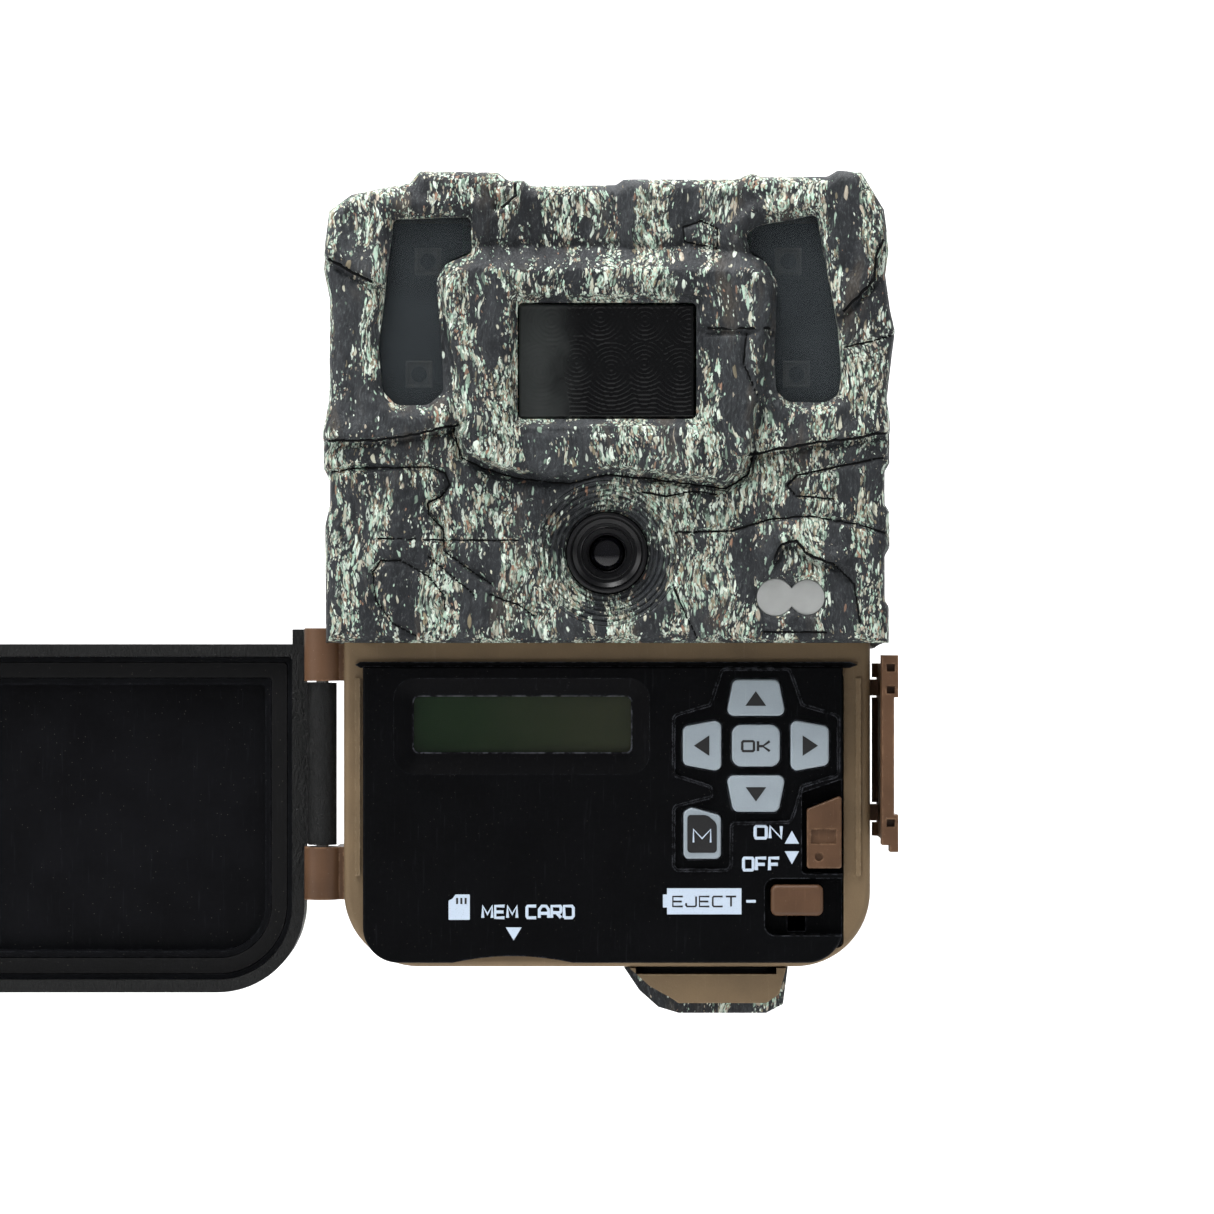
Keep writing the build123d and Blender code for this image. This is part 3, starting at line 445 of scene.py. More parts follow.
@dataclass(frozen=True)
class Metal(Finish):
    """Plain or plated metal with fine turning or brushing marks."""

    colour: Colour
    rough: float = 0.3
    stretch: Triple = (400.0, 9000.0, 400.0)

    def material(self) -> bpy.types.Material:
        """Makes the metal."""
        made, wire, shader = self.start()
        marks = wire.noise(wire.place(self.stretch), 1.0, 3.0, 0.6)
        slow = self.group(wire, Effects.grain(), Scale=1.2)
        dull = tuple(level * 0.72 for level in self.colour)
        base = wire.blend(wire.span(slow.outputs["Tone"], 0.35, 0.65), dull, self.colour)
        base = wire.blend(wire.times(marks, 0.3), base, dull)
        wire.feed(shader.inputs["Base Color"], base)
        shader.inputs["Metallic"].default_value = 1.0
        rough = wire.span(marks, 0.3, 0.7, self.rough - 0.08, self.rough + 0.12)
        wire.feed(shader.inputs["Roughness"], rough)
        self.bump(wire, shader, marks, 0.25, 0.02)
        return made


@dataclass(frozen=True)
class Glazing(Finish):
    """A window: clear, smoked or nearly black, with faint smears."""

    colour: Colour
    solid: float = 0.9
    rough: float = 0.06
    sheen: float = 0.3
    wave: float = 0.0
    coat: float = 0.0

    def material(self) -> bpy.types.Material:
        """Makes the window."""
        made, wire, shader = self.start()
        grain = self.group(wire, Effects.grain(), Scale=0.5, Flow=0.25)
        deep = tuple(level * 0.82 for level in self.colour)
        wire.feed(shader.inputs["Base Color"], wire.blend(grain.outputs["Tone"], deep, self.colour))
        rough = wire.span(grain.outputs["Tone"], 0.35, 0.75, self.rough, self.rough + 0.07)
        wire.feed(shader.inputs["Roughness"], rough)
        smear = wire.span(grain.outputs["Tone"], 0.3, 0.8, self.solid * 0.94, min(1.0, self.solid * 1.06))
        wire.feed(shader.inputs["Alpha"], smear)
        shader.inputs["Specular IOR Level"].default_value = self.sheen
        shader.inputs["Coat Weight"].default_value = self.coat
        if self.wave:
            self.bump(wire, shader, grain.outputs["Height"], 0.5, self.wave)
        return made


@dataclass(frozen=True)
class Pane(Finish):
    """The motion window: black, with a soft grey reflection painted towards its left end."""

    # colour of the painted reflection
    sheen: Colour
    deep: Colour

    def material(self) -> bpy.types.Material:
        """Makes the pane."""
        made, wire, shader = self.start()
        place = wire.place()
        across = wire.add("SeparateXYZ", {0: place}).outputs["X"]
        wander = wire.times(wire.noise(place, 0.22, 2.0), 7.0)
        # painted reflection: the sheen colour on the left fades into the deep black to the right
        base = wire.blend(wire.span(wire.plus(across, wander), -7.5, 0.5), self.sheen, self.deep)
        grain = self.group(wire, Effects.grain(), Scale=0.6)
        base = wire.blend(wire.times(grain.outputs["Tone"], 0.3), base, self.deep)
        wire.feed(shader.inputs["Base Color"], base)
        wire.feed(shader.inputs["Roughness"], wire.span(grain.outputs["Height"], 0.3, 0.7, 0.16, 0.24))
        shader.inputs["Specular IOR Level"].default_value = 0.35
        return made


@dataclass(frozen=True)
class Ink(Finish):
    """Printed ink: almost even, with slightly worn spots."""

    colour: Colour
    worn: Colour

    def material(self) -> bpy.types.Material:
        """Makes the ink."""
        made, wire, shader = self.start()
        grain = self.group(wire, Effects.grain(), Scale=6.0)
        patch = wire.span(grain.outputs["Height"], 0.58, 0.74, 0.0, 0.45)
        wire.feed(shader.inputs["Base Color"], wire.blend(patch, self.colour, self.worn))
        wire.feed(shader.inputs["Roughness"], wire.span(grain.outputs["Tone"], 0.2, 0.8, 0.48, 0.62))
        return made


@dataclass(frozen=True)
class Display(Finish):
    """An unlit display: dark green, turning olive to the right, with the faint grid of its cells."""

    dark: Colour
    pale: Colour

    def material(self) -> bpy.types.Material:
        """Makes the display."""
        made, wire, shader = self.start()
        place = wire.place()
        across = wire.add("SeparateXYZ", {0: place}).outputs["X"]
        uneven = wire.plus(across, wire.times(wire.noise(place, 0.12, 2.0), 9.0))
        base = wire.blend(wire.span(uneven, -26.0, 8.0), self.dark, self.pale)
        turned = wire.add("Mapping", {"Vector": place, "Rotation": (math.pi / 2, 0, 0)}).outputs[0]
        sizes = {"Scale": 1.0, "Mortar Size": 0.03, "Brick Width": 0.6, "Row Height": 0.9}
        cells = wire.add("TexBrick", {"Vector": turned, **sizes})
        cells.offset = 0.0
        base = wire.blend(wire.times(cells.outputs["Fac"], 0.16), base, tint(16, 22, 16))
        wire.feed(shader.inputs["Base Color"], base)
        wire.feed(shader.inputs["Roughness"], wire.span(uneven, -30.0, 10.0, 0.16, 0.26))
        return made


@dataclass(frozen=True)
class Board(Finish):
    """A circuit board: solder resist with tracks and pads."""

    def material(self) -> bpy.types.Material:
        """Makes the board."""
        made, wire, shader = self.start()
        turned = wire.add("Mapping", {"Vector": wire.place(), "Rotation": (math.pi / 2, 0, 0)}).outputs[0]
        tracks = wire.add("TexVoronoi", {"Vector": turned, "Scale": 0.42}, distance="MANHATTAN",
                          feature="DISTANCE_TO_EDGE")
        line = wire.span(tracks.outputs["Distance"], 0.10, 0.06)
        pads = wire.add("TexVoronoi", {"Vector": turned, "Scale": 0.9}, distance="CHEBYCHEV")
        pad = wire.span(pads.outputs["Distance"], 0.16, 0.12)
        base = wire.blend(line, tint(12, 62, 34), tint(26, 92, 52))
        base = wire.blend(pad, base, tint(196, 178, 120))
        wire.feed(shader.inputs["Base Color"], base)
        wire.feed(shader.inputs["Metallic"], wire.times(pad, 0.8))
        wire.feed(shader.inputs["Roughness"], wire.span(pad, 0.0, 1.0, 0.42, 0.28))
        self.bump(wire, shader, wire.plus(line, pad), 0.5, 0.04)
        return made


@dataclass(frozen=True)
class Jacket(Finish):
    """A cell's printed jacket: dark body with a coppery band near its top end."""

    body: Colour
    band: Colour

    def material(self) -> bpy.types.Material:
        """Makes the jacket."""
        made, wire, shader = self.start()
        place = wire.place()
        height = wire.add("SeparateXYZ", {0: place}).outputs["Z"]
        cycle = wire.math("WRAP", height, 51.4)
        cycle.node.inputs[2].default_value = 0.0
        band = wire.math("GREATER_THAN", cycle, 34.0)
        grain = self.group(wire, Effects.grain(), Scale=1.5)
        base = wire.blend(band, self.body, self.band)
        deep = tuple(level * 0.6 for level in self.body)
        base = wire.blend(wire.times(grain.outputs["Tone"], 0.35), base, deep)
        wire.feed(shader.inputs["Base Color"], base)
        shader.inputs["Metallic"].default_value = 0.6
        wire.feed(shader.inputs["Roughness"], wire.span(grain.outputs["Height"], 0.3, 0.7, 0.26, 0.36))
        return made


class Palette:
    """Every finish on the camera, made into a material the first time that it is used."""

    finishes: dict[str, Finish] = {
        "bark": Bark("bark_print", cover=0.62),
        "bark_thin": Bark("bark_print_sparse", cover=0.66, depth=0.08),
        "bark_door": Bark("bark_print_door", cover=0.62, inner=-56.5),
        "tan": Moulded("tan_plastic", tint(112, 94, 70), tint(168, 150, 122), rough=0.62, grain_scale=4.0,
                       grain_depth=0.05, tone=0.10, wear=0.7),
        "brown": Moulded("brown_plastic", tint(86, 61, 42), tint(156, 124, 96), rough=0.46,
                         grain_depth=0.03, tone=0.16, wear=1.0, edge=0.0005),
        # painted groove shadow: the near-black finish of the tubes laid in the grooves and under the shelves
        "crease": Moulded("bark_painted_groove_shadow", tint(10, 11, 12), tint(40, 42, 44), rough=0.7, tone=0.2,
                          wear=0.2, dust=0.1, sheen=0.1),
        # the panel's pale second colour, with wear=1.0, paints thin highlights along its edges, partly edge
        # wear
        "panel": Moulded("panel_plastic", tint(4, 5, 7), tint(92, 94, 100), rough=0.55, grain_scale=5.0,
                         grain_depth=0.05, tone=0.15, wear=1.0, edge=0.0003, dust=0.15, sheen=0.05),
        "black": Moulded("black_plastic", tint(18, 18, 19), tint(70, 70, 72), rough=0.42, tone=0.18,
                         wear=0.4, sheen=0.2),
        "optic": Moulded("optic_black", tint(13, 13, 15), tint(46, 46, 50), rough=0.30, grain_depth=0.01,
                         tone=0.15, wear=0.25, edge=0.0002, dust=0.08, sheen=0.22),
        "liner": Moulded("liner_plastic", tint(7, 8, 11), tint(64, 66, 72), rough=0.46, grain_scale=2.2,
                         grain_depth=0.04, tone=0.22, wear=0.35, dust=0.3, sheen=0.08),
        "rubber": Moulded("seal_rubber", tint(14, 14, 15), tint(50, 50, 50), rough=0.72, grain_scale=6.0,
                          tone=0.15, wear=0.3, dust=0.4, sheen=0.12),
        "mat": Moulded("key_mat_rubber", tint(26, 27, 30), tint(60, 62, 66), rough=0.6, tone=0.10,
                       wear=0.3),
        "key": Moulded("key_plastic", tint(146, 156, 163), tint(196, 204, 210), rough=0.40,
                       grain_scale=5.0, grain_depth=0.02, tone=0.06, wear=0.5, edge=0.00025, dust=0.3),
        "tray": Moulded("tray_plastic", tint(34, 34, 35), tint(80, 80, 80), rough=0.5, tone=0.2,
                        wear=0.5),
        "chip": Moulded("chip_case", tint(24, 24, 25), tint(60, 60, 60), rough=0.5, grain_scale=8.0,
                        wear=0.2),
        "card": Moulded("card_plastic", tint(30, 34, 46), tint(90, 96, 110), rough=0.42, tone=0.12,
                        wear=0.5),
        "clear": Glazing("clear_window", tint(18, 24, 18), solid=0.16, rough=0.05, sheen=0.25),
        "frosted": Glazing("indicator_window", tint(190, 192, 190), solid=0.7, rough=0.16, sheen=0.5,
                           wave=0.2, coat=0.3),
        "smoked": Glazing("smoked_window", tint(62, 67, 70), solid=0.55, rough=0.12, sheen=0.12),
        # the first colour is a painted grey reflection on the window's left end
        "sensor": Pane("sensor_window", tint(48, 51, 50), tint(3, 4, 5)),
        "lens": Glazing("lens_glass", tint(7, 6, 12), solid=0.9, rough=0.03, sheen=0.4, coat=0.2),
        "epoxy": Glazing("lamp_epoxy", tint(206, 200, 188), solid=0.9, rough=0.12),
        "package": Moulded("lamp_package", tint(176, 174, 166), tint(206, 204, 198), rough=0.5, tone=0.1,
                           wear=0.2),
        "lamp_board": Moulded("lamp_board", tint(44, 48, 52), tint(70, 74, 78), rough=0.7,
                              grain_scale=1.0, grain_depth=0.0, tone=0.05, wear=0.1, dust=0.0),
        "film": Glazing("flex_film", tint(176, 116, 38), solid=0.97, rough=0.25, coat=0.3),
        "steel": Metal("plain_steel", tint(168, 168, 166), rough=0.34),
        "nickel": Metal("nickel_plate", tint(196, 190, 176), rough=0.24),
        "brass": Metal("brass_insert", tint(206, 170, 96), rough=0.3),
        "display": Display("display_glass", tint(30, 50, 28), tint(56, 60, 42)),
        "board": Board("circuit_board"),
        "jacket": Jacket("cell_jacket", tint(36, 38, 44), tint(176, 112, 62)),
        "print": Ink("pale_ink", tint(186, 200, 216), tint(120, 130, 142)),
        "dark_print": Ink("dark_ink", tint(8, 8, 10), tint(30, 31, 35)),
    }
    made: dict[str, bpy.types.Material] = {}

    @classmethod
    def get(cls, name: str) -> bpy.types.Material:
        """The material of a finish."""
        if name not in cls.made:
            cls.made[name] = cls.finishes[name].material()
        return cls.made[name]


# ---------------------------------------- shaping helpers
def smooth(value: np.ndarray) -> np.ndarray:
    """A soft step from 0 to 1."""
    held = np.clip(value, 0.0, 1.0)
    return held * held * (3.0 - 2.0 * held)


def distance(
    places: np.ndarray, path: Sequence[Point], closed: bool = False
) -> tuple[np.ndarray, np.ndarray]:
    """Distance from places to a path, and the side of it that they are on.

    Args:
        places: One row of X and Z per place.
        path: The path's corners.
        closed: Whether the last corner joins the first.

    Returns:
        The distance, and +1 to the left of the path's nearest run or -1 to its right.
    """
    corners = list(path) + ([path[0]] if closed else [])
    best = np.full(len(places), 1e9)
    side = np.ones(len(places))
    for start, end in zip(corners[:-1], corners[1:]):
        first, run = np.array(start), np.array(end) - np.array(start)
        along = np.clip(((places - first) @ run) / max(run @ run, 1e-9), 0.0, 1.0)
        away = places - first - along[:, None] * run
        length = np.hypot(away[:, 0], away[:, 1])
        turn = run[0] * (places[:, 1] - first[1]) - run[1] * (places[:, 0] - first[0])
        nearer = length < best
        best = np.where(nearer, length, best)
        side = np.where(nearer, np.where(turn >= 0, 1.0, -1.0), side)
    return best, side


def depth_inside(places: np.ndarray, polygon: Sequence[Point]) -> np.ndarray:
    """Distance to a closed outline, positive inside it and negative outside."""
    reach, _ = distance(places, polygon, closed=True)
    within = np.zeros(len(places), bool)
    for start, end in zip(polygon, list(polygon[1:]) + [polygon[0]]):
        crosses = (start[1] > places[:, 1]) != (end[1] > places[:, 1])
        slope = (end[0] - start[0]) / ((end[1] - start[1]) or 1e-9)
        within ^= crosses & (places[:, 0] < start[0] + (places[:, 1] - start[1]) * slope)
    return np.where(within, reach, -reach)


def ripple(places: np.ndarray, across: float, up: float, seed: float) -> np.ndarray:
    """Smooth noise between about -1 and 1, with its own pitch across and up."""
    return np.array([noise.noise(Vector((x * across, z * up, seed))) for x, z in places])


def finished(name: str, shape: Shape, finish: str, smooth_faces: bool = True) -> Piece:
    """Turns a bmesh in millimetres into a piece in metres.

    Args:
        name: The piece's name.
        shape: The mesh, which is freed.
        finish: The palette name of its finish.
        smooth_faces: Whether its faces shade smoothly.

    Returns:
        The new object, linked to the scene.
    """
    bmesh.ops.scale(shape, vec=(MM, MM, MM), verts=shape.verts)
    mesh = bpy.data.meshes.new(name)
    shape.to_mesh(mesh)
    shape.free()
    piece = bpy.data.objects.new(name, mesh)
    bpy.context.scene.collection.objects.link(piece)
    mesh.materials.append(Palette.get(finish))
    if smooth_faces:
        mesh.shade_smooth()
    return piece


def placed(piece: Piece, body: str, slot: str, *nodes: str) -> Piece:
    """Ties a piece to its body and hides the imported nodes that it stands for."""
    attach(piece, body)
    if nodes:
        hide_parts(*nodes)
    LOG.info("%s rides on %s", piece.name, body)
    return piece


def prism(corners: Sequence[Point], rear: float, front: float, rounding: float = 0.0) -> Shape:
    """A straight block with the outline of some corners in X and Z.

    Args:
        corners: The outline.
        rear: Y of its rear face.
        front: Y of its front face.
        rounding: Radius of its upright edges.

    Returns:
        The closed block.
    """
    shape = bmesh.new()
    face = shape.faces.new([shape.verts.new((x, rear, z)) for x, z in corners])
    if rounding:
        bmesh.ops.bevel(shape, geom=list(face.verts), offset=rounding, affect="VERTICES", segments=4,
                        profile=0.5, material=-1)
    made = bmesh.ops.extrude_face_region(shape, geom=list(shape.faces))
    moved = [item for item in made["geom"] if isinstance(item, bmesh.types.BMVert)]
    bmesh.ops.translate(shape, verts=moved, vec=(0.0, front - rear, 0.0))
    bmesh.ops.recalc_face_normals(shape, faces=shape.faces)
    return shape


def ring_points(x: float, z: float, radius: float, count: int = 48) -> list[Point]:
    """Corners of a circle in X and Z."""
    return [(x + radius * math.cos(turn), z + radius * math.sin(turn))
            for turn in (2 * math.pi * step / count for step in range(count))]


def spun(profile: Sequence[Point], x: float, z: float, steps: int = 96) -> Shape:
    """Spins a profile of radius and Y about an axis along Y.

    Args:
        profile: Radius and Y of each corner, as a closed loop or as a line that starts and ends on the axis.
        x: X of the axis.
        z: Z of the axis.
        steps: Number of steps round.

    Returns:
        The spun shape.
    """
    shape = bmesh.new()
    corners = [shape.verts.new((x + radius, y, z)) for radius, y in profile]
    loops = list(zip(corners, corners[1:] + corners[:1]))
    if profile[0][0] == 0.0 and profile[-1][0] == 0.0:
        loops.pop()
    edges = [shape.edges.new(pair) for pair in loops]
    bmesh.ops.spin(shape, geom=corners + edges, cent=(x, 0.0, z), axis=(0.0, 1.0, 0.0), dvec=(0.0, 0.0, 0.0),
                   angle=2 * math.pi, steps=steps, use_merge=True)
    bmesh.ops.remove_doubles(shape, verts=shape.verts, dist=0.0005)
    bmesh.ops.recalc_face_normals(shape, faces=shape.faces)
    return shape


def drawn(curve: bpy.types.Curve) -> Shape:
    """Turns a curve into a mesh and removes it."""
    pen = bpy.data.objects.new("pen", curve)
    bpy.context.scene.collection.objects.link(pen)
    bpy.context.view_layer.update()
    flat = bpy.data.meshes.new_from_object(pen.evaluated_get(bpy.context.evaluated_depsgraph_get()))
    shape = bmesh.new()
    shape.from_mesh(flat)
    bpy.data.objects.remove(pen)
    bpy.data.curves.remove(curve)
    bpy.data.meshes.remove(flat)
    return shape


def carve(piece: Piece, cutters: Sequence[Shape]) -> None:
    """Cuts closed shapes out of a piece and keeps the result as its mesh.

    Args:
        piece: The piece to cut.
        cutters: Closed shapes in millimetres, which are freed.
    """
    tools = []
    for cutter in cutters:
        bmesh.ops.scale(cutter, vec=(MM, MM, MM), verts=cutter.verts)
        mesh = bpy.data.meshes.new("cutter")
        cutter.to_mesh(mesh)
        cutter.free()
        mesh.materials.append(piece.data.materials[0])
        tool = bpy.data.objects.new("cutter", mesh)
        bpy.context.scene.collection.objects.link(tool)
        change = piece.modifiers.new("cut", "BOOLEAN")
        change.object = tool
        change.operation = "DIFFERENCE"
        change.solver = "MANIFOLD"
        tools.append(tool)
    bpy.context.view_layer.update()
    ready = piece.evaluated_get(bpy.context.evaluated_depsgraph_get())
    mesh = bpy.data.meshes.new_from_object(ready)
    piece.modifiers.clear()
    old, piece.data = piece.data, mesh
    mesh.name = piece.name
    bpy.data.meshes.remove(old)
    for tool in tools:
        bpy.data.objects.remove(tool)


# ---------------------------------------- front cover
@dataclass(frozen=True)
class Crack:
    """A groove pressed into the bark, along a path in X and Z."""

    path: tuple[Point, ...]
    width: float = 0.46
    depth: float = 0.95

    def rise(self, places: np.ndarray) -> np.ndarray:
        """How far the groove moves the surface outwards."""
        reach, _ = distance(places, self.path)
        return -self.depth * np.exp(-((reach / self.width) ** 2))


@dataclass(frozen=True)
class Shelf:
    """A plate of bark that stands proud on the left of its path and fades away behind it."""

    path: tuple[Point, ...]
    height: float = 1.1
    reach: float = 6.0

    def rise(self, places: np.ndarray) -> np.ndarray:
        """How far the plate moves the surface outwards."""
        away, side = distance(places, self.path)
        lip = smooth((side * away + 0.25) / 0.6) * self.height * (1.0 - smooth(away / self.reach))
        under = -0.6 * np.exp(-(((side * away + 0.55) / 0.45) ** 2))
        return lip + under * (away < 2.0)


@dataclass
class FrontCover:
    """The bark-pattern shell over the optics."""

    front: float = -73.0
    limit: float = -75.45
    foot: float = 15.0
    lip_end: float = -65.2
    skirt: tuple[float, ...] = (-62.0, -57.0, -51.0, -45.0, -38.0)
    wall: float = 1.5
    columns: int = 200
    rows: int = 166
    rounding: float = 2.0
    left: tuple[Point, ...] = (
        (-40.7, 15.0), (-40.8, 32.0), (-40.1, 35.0), (-40.1, 38.4), (-41.0, 40.2), (-41.0, 45.6),
        (-40.2, 50.2), (-40.1, 64.7), (-41.0, 69.0), (-40.7, 73.4), (-40.2, 77.5),
    )
    top: tuple[Point, ...] = (
        (-40.2, 77.5), (-37.0, 79.9), (-28.4, 81.6), (-27.2, 83.3), (-15.8, 83.1), (-14.4, 82.0),
        (-12.1, 81.9), (-11.0, 81.1), (1.3, 81.3), (2.4, 82.1), (18.5, 82.1), (21.0, 83.0), (22.6, 82.4),
        (31.9, 82.5), (33.4, 83.4), (36.9, 83.1), (40.1, 77.7),
    )
    right: tuple[Point, ...] = (
        (40.8, 15.0), (40.8, 20.2), (40.2, 21.2), (40.2, 27.6), (40.9, 28.8), (40.9, 34.0), (40.2, 35.0),
        (40.2, 39.8), (40.9, 41.0), (40.9, 47.3), (40.5, 50.2), (41.1, 55.3), (41.7, 60.1), (41.0, 63.2),
        (40.3, 68.3), (40.8, 71.9), (40.1, 77.7),
    )
    island: tuple[Point, ...] = (
        (-24.4, 67.4), (-23.2, 62.2), (-21.8, 53.1), (-21.3, 48.0), (-21.5, 45.2), (-20.4, 42.3),
        (-17.3, 40.9), (-12.7, 39.5), (-5.3, 38.7), (-0.2, 40.0), (6.6, 39.5), (12.9, 38.6), (16.9, 38.2),
        (19.7, 40.0), (20.6, 42.9), (21.4, 48.6), (22.0, 53.1), (23.1, 59.4), (24.4, 66.2), (24.2, 68.6),
        (22.4, 70.6), (12.3, 71.6), (-17.3, 71.8), (-22.4, 70.3),
    )
    left_lamps: tuple[Point, ...] = (
        (-30.9, 76.2), (-19.7, 76.6), (-19.5, 71.3), (-23.5, 69.6), (-24.7, 67.2), (-23.8, 56.5),
        (-23.6, 51.2), (-25.8, 49.3), (-30.4, 49.3), (-32.5, 51.4), (-33.0, 57.7), (-32.2, 64.5),
        (-31.4, 70.8),
    )
    right_lamps: tuple[Point, ...] = (
        (20.0, 74.0), (21.6, 75.3), (30.3, 76.9), (32.3, 66.2), (33.4, 60.5), (33.9, 53.7), (33.5, 50.9),
        (31.6, 49.7), (26.0, 49.8), (24.4, 51.4), (24.2, 56.5), (24.6, 67.0), (23.0, 70.0), (20.7, 71.2),
    )
    sensor: tuple[Point, ...] = ((-12.9, 47.3), (12.9, 47.3), (12.9, 64.1), (-12.9, 64.1))
    lens: Point = (0.0, 28.0)
    lens_radius: float = 10.55
    lights: tuple[tuple[float, float, float], ...] = ((24.3, 21.6, 2.75), (28.9, 21.6, 2.6))
    shelves: tuple[Shelf, ...] = (
        Shelf(((-41.5, 44.2), (-33.2, 44.3), (-27.5, 45.2), (-21.2, 46.6)), 1.3, 7.0),
        Shelf(((20.4, 42.2), (30.5, 44.0), (36.0, 44.6), (41.5, 45.6)), 1.1, 6.0),
        Shelf(((14.4, 60.3), (23.4, 60.4)), 0.8, 7.0),
        Shelf(((-41.0, 70.9), (-37.2, 68.8), (-33.6, 67.0)), 0.9, 6.0),
        Shelf(((34.0, 62.8), (36.2, 65.1), (38.5, 67.4), (38.8, 70.8), (40.4, 74.4)), 0.7, 4.0),
        Shelf(((24.1, 27.3), (25.1, 29.3), (27.2, 29.8), (29.4, 27.5), (32.8, 26.4)), 1.0, 4.5),
        Shelf(((-13.6, 83.0), (-13.0, 79.6), (-15.2, 77.8)), 0.7, 4.0),
    )
    cracks: tuple[Crack, ...] = (
        Crack(((-41.0, 39.5), (-36.1, 40.3), (-25.8, 40.4), (-23.4, 39.6), (-22.7, 37.8), (-24.0, 36.2),
               (-25.9, 35.2), (-25.7, 33.6), (-23.7, 31.4), (-23.4, 28.2), (-20.1, 25.8), (-16.7, 23.5))),
        Crack(((-33.2, 30.1), (-23.5, 29.9), (-12.7, 29.8)), 0.25, 0.4),
        Crack(((-27.5, 16.0), (-30.9, 17.8), (-33.5, 21.3), (-33.8, 25.2), (-32.6, 26.9), (-29.8, 26.9),
               (-25.8, 24.7), (-23.5, 21.8), (-23.4, 19.6)), 0.35, 0.6),
        Crack(((-25.8, 27.5), (-22.4, 24.7), (-19.0, 21.8)), 0.3, 0.5),
        Crack(((41.0, 42.0), (34.0, 40.6), (27.4, 39.2), (26.0, 37.8), (27.2, 36.3),
               (32.8, 35.8)), 0.35, 0.6),
        Crack(((9.8, 30.9), (18.0, 31.2), (23.7, 32.9), (29.4, 33.3), (36.2, 32.1), (40.6, 30.8)), 0.35, 0.6),
        Crack(((32.8, 26.4), (35.7, 23.5), (36.5, 17.8)), 0.4, 0.6),
        Crack(((34.3, 57.7), (37.9, 58.5), (42.0, 59.7)), 0.3, 0.5),
        Crack(((9.6, 23.0), (11.2, 19.5), (13.5, 14.6)), 0.3, 0.5),
        Crack(((22.6, 16.6), (31.7, 16.5)), 0.35, 0.5),
        Crack(((15.9, 72.0), (11.2, 73.0), (11.0, 75.0), (13.6, 76.0), (16.0, 74.8), (15.9, 72.0)), 0.3, 0.5),
        Crack(((20.2, 60.0), (19.6, 55.4), (21.6, 50.6)), 0.3, 0.5),
        Crack(((5.0, 36.8), (8.5, 36.2), (12.5, 36.9), (16.0, 36.4)), 0.3, 0.6),
        Crack(((-17.0, 22.0), (-12.6, 20.4), (-10.4, 18.8)), 0.3, 0.5),
        # along the island's lower edge; its black tube is painted shadow under the island
        Crack(((-22.2, 46.2), (-21.2, 41.8), (-17.6, 40.1), (-12.8, 38.7), (-5.3, 37.9), (-0.2, 39.2),
               (6.6, 38.7), (12.9, 37.8), (17.2, 37.3), (20.5, 39.4), (21.4, 43.0)), 0.6, 0.8),
    )

    def outline(self) -> list[Point]:
        """The whole edge, once round."""
        return list(self.left) + list(self.top[1:]) + list(reversed(self.right))[1:]

    def rise(self, places: np.ndarray) -> np.ndarray:
        """How far the surface stands in front of its plane at each place.

        Args:
            places: One row of X and Z per place.

        Returns:
            The rise in millimetres.
        """
        up = places[:, 1]
        rise = 0.42 * ripple(places, 0.34, 0.10, 1.7) + 0.24 * ripple(places, 1.25, 0.34, 5.1)
        rise += 0.10 * ripple(places, 2.6, 0.9, 9.4)
        for feature in (*self.shelves, *self.cracks):
            rise += feature.rise(places)
        edge = depth_inside(places, self.island) + 0.5 * ripple(places, 0.5, 0.5, 3.3)
        slope = 0.9 + 3.0 * smooth((up - 64.0) / 6.0)
        rise += 2.3 * smooth((edge + 0.3) / slope) - 0.5 * np.exp(-(((edge + 0.7) / 0.5) ** 2))
        for window in (self.left_lamps, self.right_lamps):
            away = -depth_inside(places, window)
            rise += 0.55 * np.exp(-(((away - 1.9) / 1.3) ** 2)) - 0.55 * np.exp(-((away / 0.5) ** 2))
        away = np.maximum(-depth_inside(places, self.sensor), 0.0)
        rise -= 1.7 * (1.0 - smooth(away / 1.5)) + 0.25 * np.exp(-(((away - 1.8) / 0.5) ** 2))
        round_lens = np.hypot(places[:, 0] - self.lens[0], up - self.lens[1]) - self.lens_radius
        rise = rise * smooth(np.abs(round_lens) / 2.5) + 0.25 * np.exp(-(((round_lens - 1.0) / 0.8) ** 2))
        for x, z, radius in self.lights:
            away = np.hypot(places[:, 0] - x, up - z) - radius
            rise -= 0.5 * np.exp(-((np.maximum(away, 0.0) / 0.5) ** 2))
        inset = np.clip(depth_inside(places, self.outline()), 0.0, self.rounding)
        rise -= self.rounding - np.sqrt(self.rounding ** 2 - (self.rounding - inset) ** 2)
        return rise

    def surface(self) -> Shape:
        """The front face: a grid drawn out to the outline and pressed to its relief."""
        shape = bmesh.new()
        bmesh.ops.create_grid(shape, x_segments=self.columns, y_segments=self.rows, size=1.0)
        grid = np.array([(vertex.co.x, vertex.co.y) for vertex in shape.verts]) * 0.5 + 0.5
        across, up = grid[:, 0], grid[:, 1]
        first, last = self.top[0][0], self.top[-1][0]
        crest = np.interp(first + across * (last - first), *zip(*self.top))
        height = self.foot + up * (crest - self.foot)
        near = np.interp(height, [z for _, z in self.left], [x for x, _ in self.left])
        far = np.interp(height, [z for _, z in self.right], [x for x, _ in self.right])
        places = np.stack([near + across * (far - near), height], axis=1)
        depth = np.maximum(self.front - self.rise(places), self.limit)
        for vertex, (x, z), y in zip(shape.verts, places, depth):
            vertex.co = Vector((x, y, z))
        return shape

